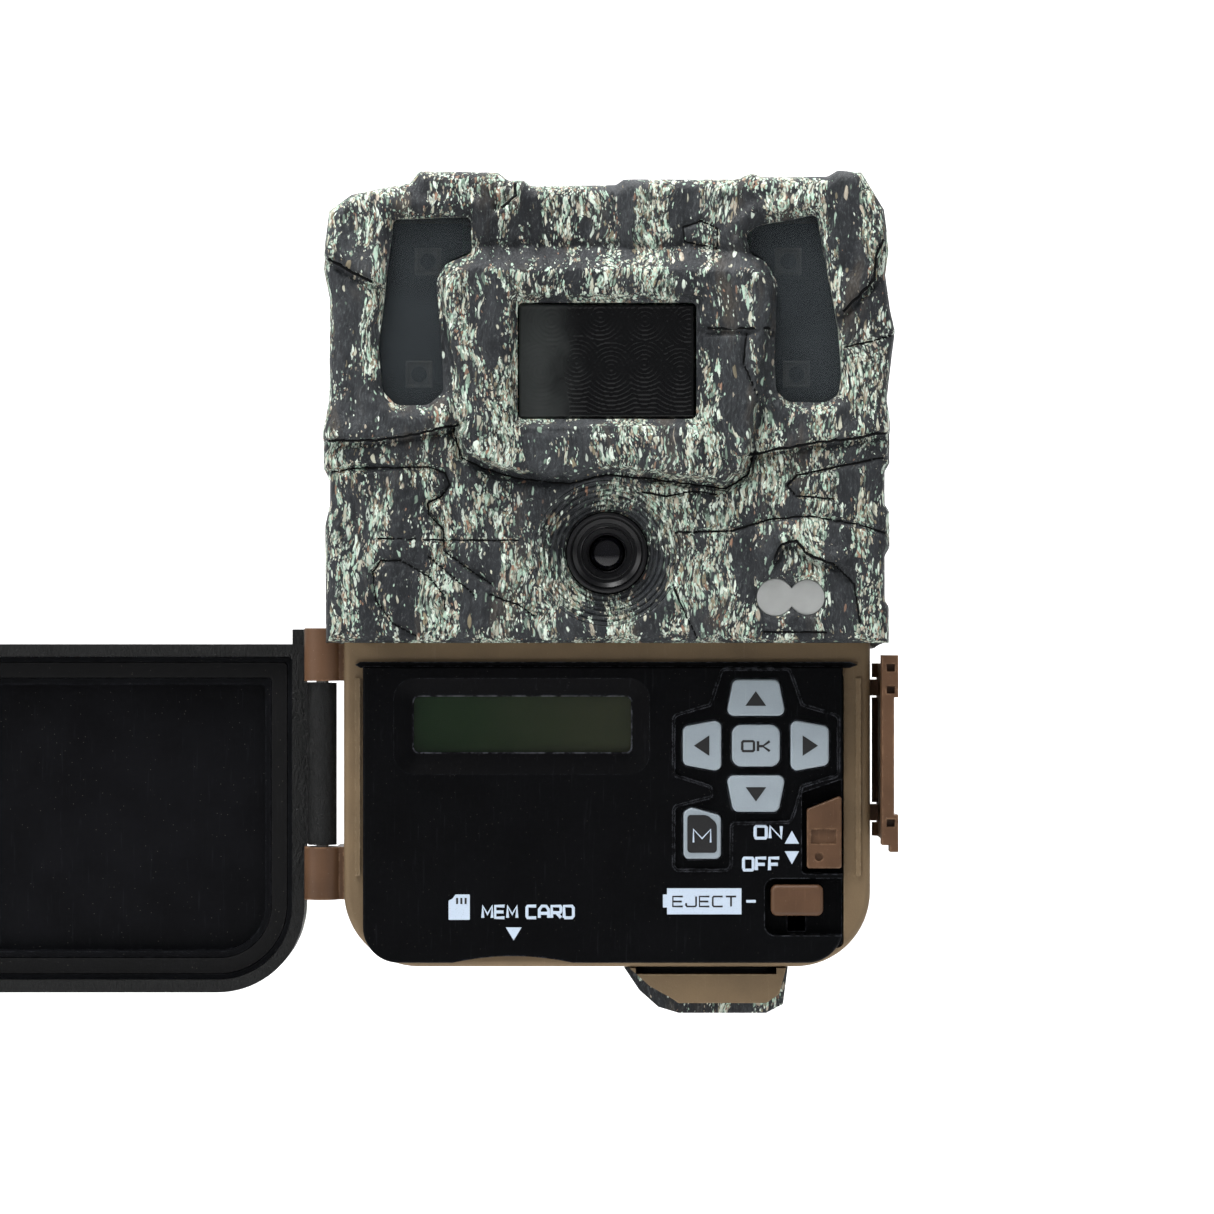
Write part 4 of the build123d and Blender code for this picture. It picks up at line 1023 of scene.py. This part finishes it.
    def skirted(self) -> Shape:
        """The front face with its sides drawn back; the lower side stops at the flange."""
        shape = self.surface()
        rim = [edge for edge in shape.edges if edge.is_boundary]
        shape, rim = self.draw_back(shape, rim, self.lip_end)
        sides = [edge for edge in rim if max(vertex.co.z for vertex in edge.verts) > self.foot + 0.01]
        for depth in self.skirt:
            shape, sides = self.draw_back(shape, sides, depth)
        bmesh.ops.recalc_face_normals(shape, faces=shape.faces)
        front = min(shape.faces, key=lambda face: face.calc_center_median().y)
        if front.normal.y > 0:
            bmesh.ops.reverse_faces(shape, faces=shape.faces)
        return shape

    def draw_back(self, shape: Shape, rim: list, depth: float) -> tuple[Shape, list]:
        """Extrudes a rim back to a depth, with the bark's ridges running on a little.

        Args:
            shape: The mesh.
            rim: Its open edges.
            depth: Y of the new rim.

        Returns:
            The mesh and the new rim.
        """
        made = bmesh.ops.extrude_edge_only(shape, edges=rim)["geom"]
        for vertex in (item for item in made if isinstance(item, bmesh.types.BMVert)):
            x, z = vertex.co.x, vertex.co.z
            pull = 0.25 * (noise.noise(Vector((x * 0.5, depth * 0.21, z * 0.5))) + 0.6)
            vertex.co.y = depth
            if abs(x) > 39.0 and z > self.foot + 0.01:
                vertex.co.x = x - math.copysign(pull * 0.6, x)
            if z > 77.0:
                vertex.co.z = z - pull
        return shape, [item for item in made if isinstance(item, bmesh.types.BMEdge)]

    def painted_groove_shadows(self) -> Piece:
        """Black tubes laid just above the pressed surface along each groove, wider under the shelves: painted
        shadow in the grooves and under the shelves.
        """
        curve = bpy.data.curves.new("creases", "CURVE")
        curve.dimensions, curve.bevel_resolution, curve.bevel_depth = "3D", 1, 0.17
        for feature in (*self.cracks, *self.shelves):
            # shelves get wider tubes, for a heavier painted shadow under their lips
            path, wide = np.array(feature.path), 1.6 if isinstance(feature, Shelf) else 1.0
            steps = np.linspace(0.0, 1.0, 12, endpoint=False)[:, None]
            legs = [start + (end - start) * steps for start, end in zip(path[:-1], path[1:])]
            places = np.concatenate([*legs, path[-1:]])
            shaken = [ripple(places, 0.9, 0.9, seed) for seed in (2.2, 6.1)]
            places = places + 0.16 * np.stack(shaken, axis=1)
            places = places[depth_inside(places, self.outline()) > 0.6]
            spline = curve.splines.new("POLY")
            spline.points.add(len(places) - 1)
            for point, (x, z), y in zip(spline.points, places, self.front - self.rise(places) - 0.06):
                point.co, point.radius = (x, max(y, self.limit + 0.36), z, 1.0), wide
        return placed(finished("bark_painted_groove_shadows", drawn(curve), "crease"), "camera", "camo_plastic")

    def build(self) -> Piece:
        """Makes the cover and cuts its windows.

        Returns:
            The finished piece.
        """
        shape = self.skirted()
        bmesh.ops.solidify(shape, geom=list(shape.faces), thickness=self.wall)
        piece = finished("bark_front_cover", shape, "bark")
        cutters = [prism(self.left_lamps, -60.0, -78.0, 0.7), prism(self.right_lamps, -60.0, -78.0, 0.7)]
        cutters.append(prism(self.sensor, -60.0, -78.0, 0.8))
        cutters.append(prism(ring_points(*self.lens, self.lens_radius), -60.0, -78.0))
        cutters.extend(prism(ring_points(*light), -60.0, -78.0) for light in self.lights)
        cutters.append(prism(((-45.0, 14.0), (-38.0, 14.0), (-38.0, 17.7), (-45.0, 17.7)), -57.0, -67.2))
        cutters.append(prism(((-41.9, 14.0), (-36.2, 14.0), (-36.2, 17.7), (-41.9, 17.7)), -62.0, -71.0))
        carve(piece, cutters)
        self.painted_groove_shadows()
        return placed(piece, "camera", "camo_plastic", "front_cover")


# ---------------------------------------- optics
@dataclass
class LensSet:
    """Stepped surround, barrel and front element."""

    x: float = 0.0
    z: float = 28.0
    rings: int = 6
    outer: float = 10.5
    bore: float = 6.0
    face: float = -73.05
    rear: float = -69.95
    barrel_rear: float = -66.1

    def surround(self) -> Piece:
        """The dish of stepped rings, each with a fine groove behind its lip."""
        pitch = (self.outer - self.bore) / self.rings
        profile = [(self.outer, self.rear)]
        for index in range(self.rings):
            radius, depth = self.outer - pitch * index, self.face + 0.30 * index
            profile += [(radius, depth + 0.10), (radius - 0.12, depth), (radius - pitch * 0.58, depth + 0.04)]
            profile += [(radius - pitch * 0.70, depth + 0.45), (radius - pitch * 0.96, depth + 0.46)]
        profile.append((self.bore, self.rear))
        piece = finished("lens_surround", spun(profile, self.x, self.z), "bark_thin", smooth_faces=False)
        return placed(piece, "camera", "black_plastic", "lens_bezel")

    def barrel(self) -> Piece:
        """The black tube, with its rims, inner cone and iris."""
        profile = [
            (5.85, self.barrel_rear), (5.85, -72.35), (5.75, -72.60), (5.45, -72.70), (5.25, -72.62),
            (5.15, -72.30),
            (5.05, -72.28), (4.95, -72.46), (4.35, -72.12), (4.25, -71.85), (3.95, -71.80), (3.75, -71.92),
            (3.65, -71.80), (3.55, -71.25), (2.95, -71.15), (2.80, -71.25), (2.66, -71.10), (2.62, -68.20),
            (0.85, -67.95), (0.85, self.barrel_rear),
        ]
        piece = finished("lens_tube", spun(profile, self.x, self.z, 120), "optic", smooth_faces=False)
        return placed(piece, "camera", "black_plastic", "lens_barrel")

    def element(self) -> Piece:
        """The bulging front element."""
        centre, radius = -66.3, 4.5
        arc = [(radius * math.sin(turn), centre - radius * math.cos(turn))
               for turn in (step * 0.058 for step in range(10, -1, -1))]
        profile = [(0.0, -68.6), (2.46, -68.6), *arc[:-1], (0.0, arc[-1][1])]
        piece = finished("lens_element", spun(profile, self.x, self.z, 64), "lens")
        return placed(piece, "camera", "lens_glass", "lens_glass")

    def build(self) -> None:
        """Makes all three."""
        self.surround()
        self.barrel()
        self.element()


@dataclass
class SensorWindow:
    """The motion sensor's dark window, moulded with two rows of fine ring lenses."""

    half_width: float = 12.8
    low: float = 47.4
    high: float = 64.0
    face: float = -73.25
    rear: float = -71.2
    pitch: float = 0.62
    groove: float = 0.12
    centres: tuple[Point, ...] = (
        (-9.6, 54.2), (-4.4, 55.6), (0.6, 54.6), (5.4, 55.4), (10.6, 54.4), (-8.0, 61.5), (-1.0, 62.2),
        (5.5, 61.6), (11.8, 61.2),
    )

    def build(self) -> Piece:
        """Presses the rings into a fine grid and closes it behind."""
        shape = bmesh.new()
        bmesh.ops.create_grid(shape, x_segments=150, y_segments=100, size=1.0)
        middle, reach = (self.low + self.high) / 2, (self.high - self.low) / 2
        for vertex in shape.verts:
            x, z = vertex.co.x * self.half_width, middle + vertex.co.y * reach
            radius = min(math.hypot(x - cx, z - cz) for cx, cz in self.centres)
            tooth = (radius / self.pitch) % 1.0
            edge = min(self.half_width - abs(x), reach - abs(z - middle))
            dip = 0.35 * max(0.0, 1.0 - edge / 0.5) ** 2
            bow = 0.35 * math.sin(x * 0.16 + 0.8) * math.sin((z - self.low) * 0.19)
            depth = dip - 0.15 * bow + (self.groove * tooth if edge > 0.6 else 0.0)
            vertex.co = Vector((x, self.face + depth, z))
        rim = [edge for edge in shape.edges if edge.is_boundary]
        made = bmesh.ops.extrude_edge_only(shape, edges=rim)["geom"]
        for vertex in (item for item in made if isinstance(item, bmesh.types.BMVert)):
            vertex.co.y = self.rear
        rim = [item for item in made if isinstance(item, bmesh.types.BMEdge)]
        bmesh.ops.holes_fill(shape, edges=rim, sides=0)
        bmesh.ops.recalc_face_normals(shape, faces=shape.faces)
        piece = finished("sensor_window", shape, "sensor")
        return placed(piece, "camera", "sensor_window", "pir_window")


@dataclass
class LampWindows:
    """The smoked windows at both sides, and the square infrared lamps behind them."""

    cover: FrontCover
    face: float = -71.45
    rear: float = -70.0
    margin: float = 1.07
    lamps: tuple[Point, ...] = ((-26.0, 70.4), (-27.3, 54.0), (26.3, 70.4), (27.5, 54.0))
    lamp_size: float = 3.9

    def pane(self, side: str, corners: Sequence[Point]) -> Piece:
        """One smoked pane, a little larger than its opening, with a softened edge."""
        middle = np.mean(corners, axis=0)
        grown = [tuple(middle + (np.array(corner) - middle) * self.margin) for corner in corners]
        shape = prism(grown, self.rear, self.face, 0.8)
        piece = finished(f"smoked_window_{side}", shape, "smoked", smooth_faces=False)
        return placed(piece, "camera", "smoke_window", f"led_window_{side}")

    def lamp_bodies(self) -> Piece:
        """Square lamp packages, each with a round cup pressed into its face."""
        shape = bmesh.new()
        for x, z in self.lamps:
            size = Matrix.Diagonal((self.lamp_size, 1.6, self.lamp_size, 1.0))
            place = Matrix.Translation((x, -68.45, z)) @ size
            made = bmesh.ops.create_cube(shape, size=1.0, matrix=place)
            front = min({face for vertex in made["verts"] for face in vertex.link_faces},
                        key=lambda face: face.calc_center_median().y)
            bmesh.ops.inset_region(shape, faces=[front], thickness=0.45, depth=0.0)
            bmesh.ops.inset_region(shape, faces=[front], thickness=0.15, depth=-0.4)
        sharp = [edge for edge in shape.edges if edge.calc_face_angle(0.0) > 1.0]
        bmesh.ops.bevel(shape, geom=sharp, offset=0.12, affect="EDGES", segments=2, profile=0.5, material=-1)
        bmesh.ops.recalc_face_normals(shape, faces=shape.faces)
        piece = finished("lamp_packages", shape, "package", smooth_faces=False)
        return placed(piece, "camera", "lamp_epoxy", "ir_leds")

    def lamp_domes(self) -> Piece:
        """The dome in each lamp's cup."""
        shape = bmesh.new()
        for x, z in self.lamps:
            place = Matrix.Translation((x, -68.9, z)) @ Matrix.Diagonal((1.15, 0.62, 1.15, 1.0))
            bmesh.ops.create_uvsphere(shape, u_segments=32, v_segments=16, radius=1.0, matrix=place)
        piece = finished("lamp_domes", shape, "chip")
        return placed(piece, "camera", "lamp_epoxy")

    def build(self) -> None:
        """Makes panes and lamps."""
        self.pane("left", self.cover.left_lamps)
        self.pane("right", self.cover.right_lamps)
        self.lamp_bodies()
        self.lamp_domes()


# ---------------------------------------- legends
class Surface(Enum):
    """Where a legend is printed: the body it rides on and the plane of the print."""

    PANEL = ("camera", -66.5)
    UP = ("up_key", -66.9)
    DOWN = ("down_key", -66.9)
    LEFT = ("left_key", -66.9)
    RIGHT = ("right_key", -66.9)
    OK = ("ok_key", -66.9)
    MENU = ("menu_key", -66.9)


@dataclass(frozen=True)
class Lettering:
    """Squared, wide capitals drawn as strokes."""

    strokes = {
        "O": (((0, 0.12), (0.1, 0), (0.9, 0), (1, 0.12), (1, 0.88), (0.9, 1), (0.1, 1), (0, 0.88),
               (0, 0.12)),),
        "N": (((0, 0), (0, 1), (1, 0), (1, 1)),),
        "F": (((0, 0), (0, 1), (1, 1)), ((0, 0.48), (0.86, 0.48))),
        "E": (((1, 0), (0, 0), (0, 1), (1, 1)), ((0, 0.5), (0.9, 0.5))),
        "J": (((0, 0.34), (0, 0.12), (0.1, 0), (0.9, 0), (1, 0.12), (1, 1)),),
        "C": (((1, 0), (0.1, 0), (0, 0.12), (0, 0.88), (0.1, 1), (1, 1)),),
        "T": (((-0.02, 1), (1.02, 1)), ((0.5, 0), (0.5, 1))),
        "K": (((0, 0), (0, 1)), ((1, 1), (0.42, 0.5), (1, 0)), ((0, 0.5), (0.42, 0.5))),
        "M": (((0, 0), (0, 1), (0.5, 0.3), (1, 1), (1, 0)),),
        "A": (((0, 0), (0, 0.7), (0.28, 1), (0.72, 1), (1, 0.7), (1, 0)), ((0, 0.38), (1, 0.38))),
        "R": (((0, 0), (0, 1), (0.9, 1), (1, 0.88), (1, 0.56), (0.9, 0.44), (0, 0.44)),
              ((0.5, 0.44), (1, 0))),
        "D": (((0, 0), (0.84, 0), (1, 0.16), (1, 0.84), (0.84, 1), (0, 1), (0, 0)),),
    }

    def write(
        self, word: str, left: float, base: float, width: float, height: float, weight: float
    ) -> bpy.types.Curve:
        """Draws a word as a flat curve.

        Args:
            word: The word; a space skips half a letter.
            left: X of its left end.
            base: Z of its foot.
            width: Its whole width.
            height: Its height.
            weight: Stroke width.

        Returns:
            The curve, still round in section.
        """
        curve = bpy.data.curves.new("word", "CURVE")
        curve.dimensions = "3D"
        curve.bevel_depth = weight / 2
        curve.bevel_resolution = 2
        curve.use_fill_caps = True
        gap = 0.34
        units = sum(0.75 if letter == " " else 1.0 + gap for letter in word) - gap
        unit = width / units
        at = left
        for letter in word:
            for stroke in self.strokes.get(letter, ()):
                spline = curve.splines.new("POLY")
                spline.points.add(len(stroke) - 1)
                for point, (x, z) in zip(spline.points, stroke):
                    point.co = (at + x * unit, 0.0, base + z * height, 1.0)
            at += unit * (0.75 if letter == " " else 1.0 + gap)
        return curve


@dataclass
class Legends:
    """Every word and symbol printed on the panel and on the keys."""

    letters: Lettering = field(default_factory=Lettering)
    thickness: float = 0.045

    def word(self, name: str, text: str, surface: Surface, finish: str, left: float, base: float,
             width: float, height: float, weight: float = 0.36, lift: float = 0.0) -> Piece:
        """Prints a word."""
        body, plane = surface.value
        curve = self.letters.write(text, left, base, width, height, weight)
        shape = drawn(curve)
        bmesh.ops.scale(shape, vec=(1.0, self.thickness / weight, 1.0), verts=shape.verts)
        bmesh.ops.translate(shape, vec=(0.0, plane - 0.012 - lift, 0.0), verts=shape.verts)
        return placed(finished(name, shape, finish), body, "key_grey" if finish == "print" else "panel_black")

    def patch(self, name: str, corners: Sequence[Point], surface: Surface, finish: str, rounding: float = 0.0,
              lift: float = 0.0) -> Piece:
        """Prints a filled shape."""
        body, plane = surface.value
        shape = prism(corners, plane + 0.02, plane - 0.025 - lift, rounding)
        piece = finished(name, shape, finish, smooth_faces=False)
        return placed(piece, body, "key_grey" if finish == "print" else "panel_black")

    def build(self) -> None:
        """Prints them all."""
        self.word("word_on", "ON", Surface.PANEL, "print", 21.6, -13.5, 3.8, 1.75, 0.48)
        self.word("word_off", "OFF", Surface.PANEL, "print", 19.9, -18.15, 5.2, 1.75, 0.48)
        self.patch("mark_on", ((25.9, -14.3), (28.0, -14.3), (26.95, -12.4)), Surface.PANEL, "print")
        self.patch("mark_off", ((25.9, -15.4), (28.0, -15.4), (26.95, -17.3)), Surface.PANEL, "print")
        self.patch("cell_mark", ((8.75, -24.6), (19.6, -24.6), (19.6, -20.8), (8.75, -20.8),
                                 (8.75, -21.7), (8.15, -21.7), (8.15, -23.6), (8.75, -23.6)),
                   Surface.PANEL, "print")
        self.word("word_eject", "EJECT", Surface.PANEL, "dark_print", 9.6, -23.45, 9.2, 1.45, 0.27, 0.02)
        self.patch("dash_mark", ((20.3, -22.9), (21.7, -22.9), (21.7, -22.5), (20.3, -22.5)),
                   Surface.PANEL, "print", 0.08)
        self.patch("card_mark", ((-23.1, -25.4), (-20.0, -25.4), (-20.0, -21.7), (-22.1, -21.7),
                                 (-22.5, -22.3), (-23.1, -22.6)), Surface.PANEL, "print", 0.12)
        for index in range(3):
            x = -22.0 + index * 0.62
            self.patch(f"card_mark_pad_{index}", ((x, -23.1), (x + 0.3, -23.1), (x + 0.3, -22.2), (x, -22.2)),
                       Surface.PANEL, "dark_print", 0.0, 0.02)
        self.word("word_card", "MEM CARD", Surface.PANEL, "print", -18.1, -25.1, 13.2, 1.7, 0.46)
        self.patch("card_arrow", ((-14.75, -26.5), (-12.45, -26.5), (-13.6, -28.4)), Surface.PANEL, "print")
        self.patch("up_mark", ((20.15, 5.8), (23.2, 5.8), (21.67, 7.95)), Surface.UP, "dark_print")
        self.patch("down_mark", ((20.2, -6.05), (23.2, -6.05), (21.7, -8.15)), Surface.DOWN, "dark_print")
        self.patch("left_mark", ((14.9, 1.5), (14.9, -1.5), (12.65, 0.0)), Surface.LEFT, "dark_print")
        self.patch("right_mark", ((28.5, 1.5), (28.5, -1.5), (30.75, 0.0)), Surface.RIGHT, "dark_print")
        self.word("word_ok", "OK", Surface.OK, "dark_print", 19.7, -0.8, 4.0, 1.45, 0.38)
        self.patch("menu_face", ((11.7, -15.6), (16.0, -15.6), (16.0, -11.3), (14.6, -10.1), (11.7, -10.1)),
                   Surface.MENU, "dark_print", 0.5, 0.03)
        self.word("word_menu", "M", Surface.MENU, "print", 12.6, -14.1, 2.5, 1.9, 0.26, 0.05)


# ---------------------------------------- bark on the flat faces
@dataclass
class BarkPlate:
    """Raised bark moulded on a flat face: rounded plates and grooves that fade out at its edges.

    The plate faces along Y; `outward` is +1 or -1. `clear` keeps round places free, `clear_box` a square one.
    """

    name: str
    body: str
    outline: tuple[Point, ...]
    face: float
    outward: float
    shelves: tuple[Shelf, ...]
    cracks: tuple[Crack, ...]
    clear: tuple[tuple[float, float, float], ...] = ()
    clear_box: tuple[float, float, float, float] | None = None
    pitch: float = 0.62
    height: float = 0.30
    seed: float = 3.0

    def room(self, places: np.ndarray) -> np.ndarray:
        """How far each place is inside the plate, negative outside it."""
        room = depth_inside(places, self.outline) + 0.7 * ripple(places, 0.22, 0.22, self.seed)
        for x, z, radius in self.clear:
            room = np.minimum(room, np.hypot(places[:, 0] - x, places[:, 1] - z) - radius)
        if self.clear_box is not None:
            left, low, right, top = self.clear_box
            aside = np.maximum(np.maximum(left - places[:, 0], places[:, 0] - right), 0.0)
            above = np.maximum(np.maximum(low - places[:, 1], places[:, 1] - top), 0.0)
            room = np.minimum(room, np.where(aside + above > 0.0, np.hypot(aside, above), -1.0))
        return room

    def rise(self, places: np.ndarray, room: np.ndarray) -> np.ndarray:
        """How far the plate stands out at each place."""
        rise = self.height + 0.22 * ripple(places, 0.30, 0.09, self.seed)
        rise = rise + 0.12 * ripple(places, 1.1, 0.3, self.seed + 4.0)
        for feature in (*self.shelves, *self.cracks):
            rise = rise + feature.rise(places)
        return np.maximum(rise, 0.02) * smooth(room / 3.0) + 0.01

    def build(self) -> Piece:
        """Makes the plate.

        Returns:
            The finished piece.
        """
        corners = np.array(self.outline)
        low, high = corners.min(axis=0) - 1.0, corners.max(axis=0) + 1.0
        count = np.ceil((high - low) / self.pitch).astype(int)
        shape = bmesh.new()
        bmesh.ops.create_grid(shape, x_segments=int(count[0]), y_segments=int(count[1]), size=1.0)
        grid = np.array([(vertex.co.x, vertex.co.y) for vertex in shape.verts]) * 0.5 + 0.5
        places = low + grid * (high - low)
        room = self.room(places)
        depth = self.face + self.outward * self.rise(places, room)
        for vertex, (x, z), y in zip(shape.verts, places, depth):
            vertex.co = Vector((x, y, z))
        shape.verts.ensure_lookup_table()
        outside = [shape.verts[index] for index in np.flatnonzero(room < 0.0)]
        bmesh.ops.delete(shape, geom=outside, context="VERTS")
        loose = [vertex for vertex in shape.verts if len(vertex.link_faces) < 2]
        bmesh.ops.delete(shape, geom=loose, context="VERTS")
        bmesh.ops.recalc_face_normals(shape, faces=shape.faces)
        shape.faces.ensure_lookup_table()
        if shape.faces[0].normal.y * self.outward < 0:
            bmesh.ops.reverse_faces(shape, faces=shape.faces)
        bmesh.ops.solidify(shape, geom=list(shape.faces), thickness=0.25)
        return placed(finished(self.name, shape, "bark"), self.body, "camo_plastic")


def door_plate() -> BarkPlate:
    """The raised bark on the outside of the door, as it lies with the door open."""
    return BarkPlate(
        name="door_bark", body="door", face=-53.0, outward=1.0, seed=3.0,
        outline=((-121.0, 12.8), (-46.4, 12.8), (-46.4, -24.0), (-48.6, -30.0), (-55.0, -34.2),
                 (-113.5, -34.2), (-119.0, -30.2), (-121.0, -24.0)),
        shelves=(Shelf(((-122.0, 1.0), (-108.0, 2.2), (-96.0, -1.0), (-88.0, -0.4)), 0.6, 6.0),
                 Shelf(((-80.0, -14.0), (-66.0, -12.6), (-56.0, -15.5), (-45.0, -14.8)), 0.6, 6.0)),
        cracks=(Crack(((-100.0, 13.0), (-99.0, 8.0), (-101.5, 4.0), (-100.5, 1.8)), 0.6, 0.5),
                Crack(((-76.0, 13.0), (-74.5, 4.0), (-77.0, -4.0), (-75.0, -13.0)), 0.6, 0.5),
                Crack(((-90.0, -35.0), (-91.5, -26.0), (-88.5, -17.0), (-90.5, -8.0)), 0.6, 0.5),
                Crack(((-112.0, -34.0), (-110.0, -24.0), (-113.0, -14.0)), 0.6, 0.5),
                Crack(((-60.0, 13.0), (-61.5, 3.0), (-58.5, -6.0)), 0.6, 0.5),
                Crack(((-66.0, -35.0), (-64.0, -27.0), (-67.0, -20.0)), 0.6, 0.5)),
    )


def back_plate() -> BarkPlate:
    """The raised bark on the back, round the tree bracket and the case screws."""
    return BarkPlate(
        name="rear_bark", body="camera", face=-8.5, outward=1.0, seed=7.0,
        outline=((-37.2, 77.0), (37.2, 77.0), (37.2, -16.0), (33.0, -25.0), (26.0, -28.4), (-26.0, -28.4),
                 (-33.0, -25.0), (-37.2, -16.0)),
        clear=((-33.6, 42.0, 3.6), (33.6, 42.0, 3.6), (-34.0, -20.0, 3.6), (34.0, -20.0, 3.6)),
        clear_box=(-20.8, -10.8, 20.8, 46.8),
        shelves=(Shelf(((38.0, 58.0), (24.0, 59.5), (8.0, 57.0), (-4.0, 60.0), (-14.0, 59.0)), 0.6, 6.0),
                 Shelf(((-22.0, 22.0), (-30.0, 20.5), (-38.0, 22.0)), 0.5, 5.0),
                 Shelf(((38.0, 8.0), (30.0, 6.5), (21.0, 8.5)), 0.5, 5.0)),
        cracks=(Crack(((-24.0, 78.0), (-22.5, 70.0), (-25.5, 60.0), (-24.0, 50.0)), 0.6, 0.5),
                Crack(((2.0, 78.0), (3.5, 71.0), (0.5, 64.0)), 0.6, 0.5),
                Crack(((22.0, 58.0), (20.5, 52.0), (22.5, 48.0)), 0.6, 0.5),
                Crack(((28.5, 38.0), (27.0, 26.0), (30.0, 14.0)), 0.6, 0.5),
                Crack(((-28.0, 14.0), (-30.0, 2.0), (-27.0, -10.0)), 0.6, 0.5),
                Crack(((-12.0, -29.0), (-10.0, -20.0), (-13.0, -12.0)), 0.6, 0.5),
                Crack(((14.0, -29.0), (16.5, -20.0), (14.5, -12.0)), 0.6, 0.5)),
    )


# ---------------------------------------- dressing and stage
@dataclass
class Carried:
    """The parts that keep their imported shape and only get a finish."""

    nodes: dict[str, Piece]
    finishes: dict[str, tuple[str, ...]] = field(default_factory=lambda: {
        "bark": ("front_cover", "rear_shell", "tray_cap_cover"),
        "bark_door": ("door_shell",),
        "bark_thin": ("lens_bezel",),
        "tan": ("housing", "tray_cap"),
        "brown": ("hinge_knuckles", "latch_lugs", "latch_lever", "power_slider", "eject_button"),
        "panel": ("control_panel",),
        "black": ("lens_holder", "card_socket", "battery_bay", "tree_bracket"),
        "optic": ("lens_barrel",),
        "liner": ("door_liner",),
        "rubber": ("case_gasket", "door_gasket", "tray_gasket"),
        "mat": ("keypad_mat",),
        "key": ("key_up", "key_down", "key_left", "key_right", "key_ok", "key_menu"),
        "clear": ("lcd_window",),
        "frosted": ("status_window",),
        "smoked": ("led_window_left", "led_window_right"),
        "sensor": ("pir_window",),
        "lens": ("lens_glass",),
        "epoxy": ("ir_leds", "status_leds"),
        "film": ("ribbon_cable",),
        "display": ("lcd_display",),
        "board": ("control_board", "sensor_board"),
        "lamp_board": ("led_boards",),
        "chip": ("image_processor", "image_sensor", "power_switch"),
        "nickel": ("pir_sensor", "tray_contacts"),
        "steel": ("hinge_pin", "latch_pin", "case_screws", "bracket_screws", "board_screws"),
        "brass": ("socket_insert",),
        "tray": ("battery_tray",),
        "jacket": ("battery_cells",),
        "card": ("memory_card",),
    })

    def dress(self) -> None:
        """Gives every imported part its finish."""
        for finish, names in self.finishes.items():
            for name in names:
                shape = self.nodes[name]
                if not shape.material_slots:
                    shape.data.materials.append(Palette.get(finish))
                for slot in shape.material_slots:
                    slot.material = Palette.get(finish)
        LOG.info("dressed %d packed parts", sum(len(names) for names in self.finishes.values()))


@dataclass
class Stage:
    """Floor, backdrop, lights and camera."""

    floor_height: float = -185.0
    centre_height: float = 20.2
    front_plane: float = -70.0
    distance: float = 640.0
    frame_width: float = 176.0
    backdrop_white: float = 0.86

    def build(self) -> None:
        """Makes everything round the camera."""
        self.backdrop()
        self.lamps()
        self.camera()

    def backdrop(self) -> None:
        """A pale floor that curves up into a wall behind."""
        shape = bmesh.new()
        bmesh.ops.create_grid(shape, x_segments=2, y_segments=40, size=1.0)
        for vertex in shape.verts:
            run = (vertex.co.y + 1) * 1.6
            bend = min(max(run - 1.9, 0.0), 0.8)
            turn = bend / 0.8 * math.pi / 2
            back = min(run, 1.9) - 1.3 + 0.509 * math.sin(turn)
            rise = 0.509 * (1 - math.cos(turn)) + max(run - 2.7, 0.0)
            vertex.co = Vector((vertex.co.x * 2.4, back, self.floor_height * MM + rise))
        floor = bpy.data.objects.new("floor", bpy.data.meshes.new("floor"))
        shape.to_mesh(floor.data)
        shape.free()
        floor.data.shade_smooth()
        bpy.context.scene.collection.objects.link(floor)
        paper = bpy.data.materials.new("pale_paper")
        paper.use_nodes = True
        shader = paper.node_tree.nodes["Principled BSDF"]
        shader.inputs["Base Color"].default_value = (self.backdrop_white,) * 3 + (1.0,)
        shader.inputs["Roughness"].default_value = 0.9
        floor.data.materials.append(paper)

    def lamps(self) -> None:
        """Soft boxes above, at both sides and in front, with a pale surrounding."""
        world = bpy.data.worlds.new("studio")
        world.use_nodes = True
        world.node_tree.nodes["Background"].inputs[0].default_value = (0.95, 0.97, 1.0, 1.0)
        world.node_tree.nodes["Background"].inputs[1].default_value = 0.24
        bpy.context.scene.world = world
        bpy.context.scene.view_settings.view_transform = "Standard"
        target = Vector((0.0, -0.04, 0.02))
        for name, place, size, power in (
            ("top_box", (-0.16, -0.26, 0.72), 0.4, 9.0),
            ("left_box", (-0.75, -0.45, 0.30), 0.4, 3.0),
            ("right_box", (0.80, -0.40, 0.30), 0.5, 1.6),
            ("wall_wash", (0.0, 0.30, 1.1), 1.4, 26.0),
        ):
            light = bpy.data.lights.new(name, "AREA")
            light.energy = power
            light.size = size
            lamp = bpy.data.objects.new(name, light)
            bpy.context.scene.collection.objects.link(lamp)
            lamp.location = place
            aim = target if name != "wall_wash" else Vector((0.0, 1.2, 0.2))
            lamp.rotation_euler = (aim - lamp.location).to_track_quat("-Z", "Y").to_euler()

    def camera(self) -> None:
        """Looks straight at the front."""
        lens = bpy.data.cameras.new("main_camera")
        lens.sensor_width = 36.0
        lens.lens = 36.0 * self.distance / self.frame_width
        lens.clip_start = 0.01
        seat = bpy.data.objects.new("main_camera", lens)
        seat.location = (0.0, (self.front_plane - self.distance) * MM, self.centre_height * MM)
        seat.rotation_euler = (math.pi / 2, 0.0, 0.0)
        bpy.context.scene.collection.objects.link(seat)
        bpy.context.scene.camera = seat


def main() -> None:
    """Builds the whole scene in order."""
    logging.basicConfig(level=logging.INFO, format="%(name)s: %(message)s")
    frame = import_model()
    Carried(frame["nodes"]).dress()
    cover = FrontCover()
    cover.build()
    LensSet().build()
    SensorWindow().build()
    LampWindows(cover).build()
    Legends().build()
    door_plate().build()
    back_plate().build()
    Stage().build()


if __name__ == "__main__":
    main()
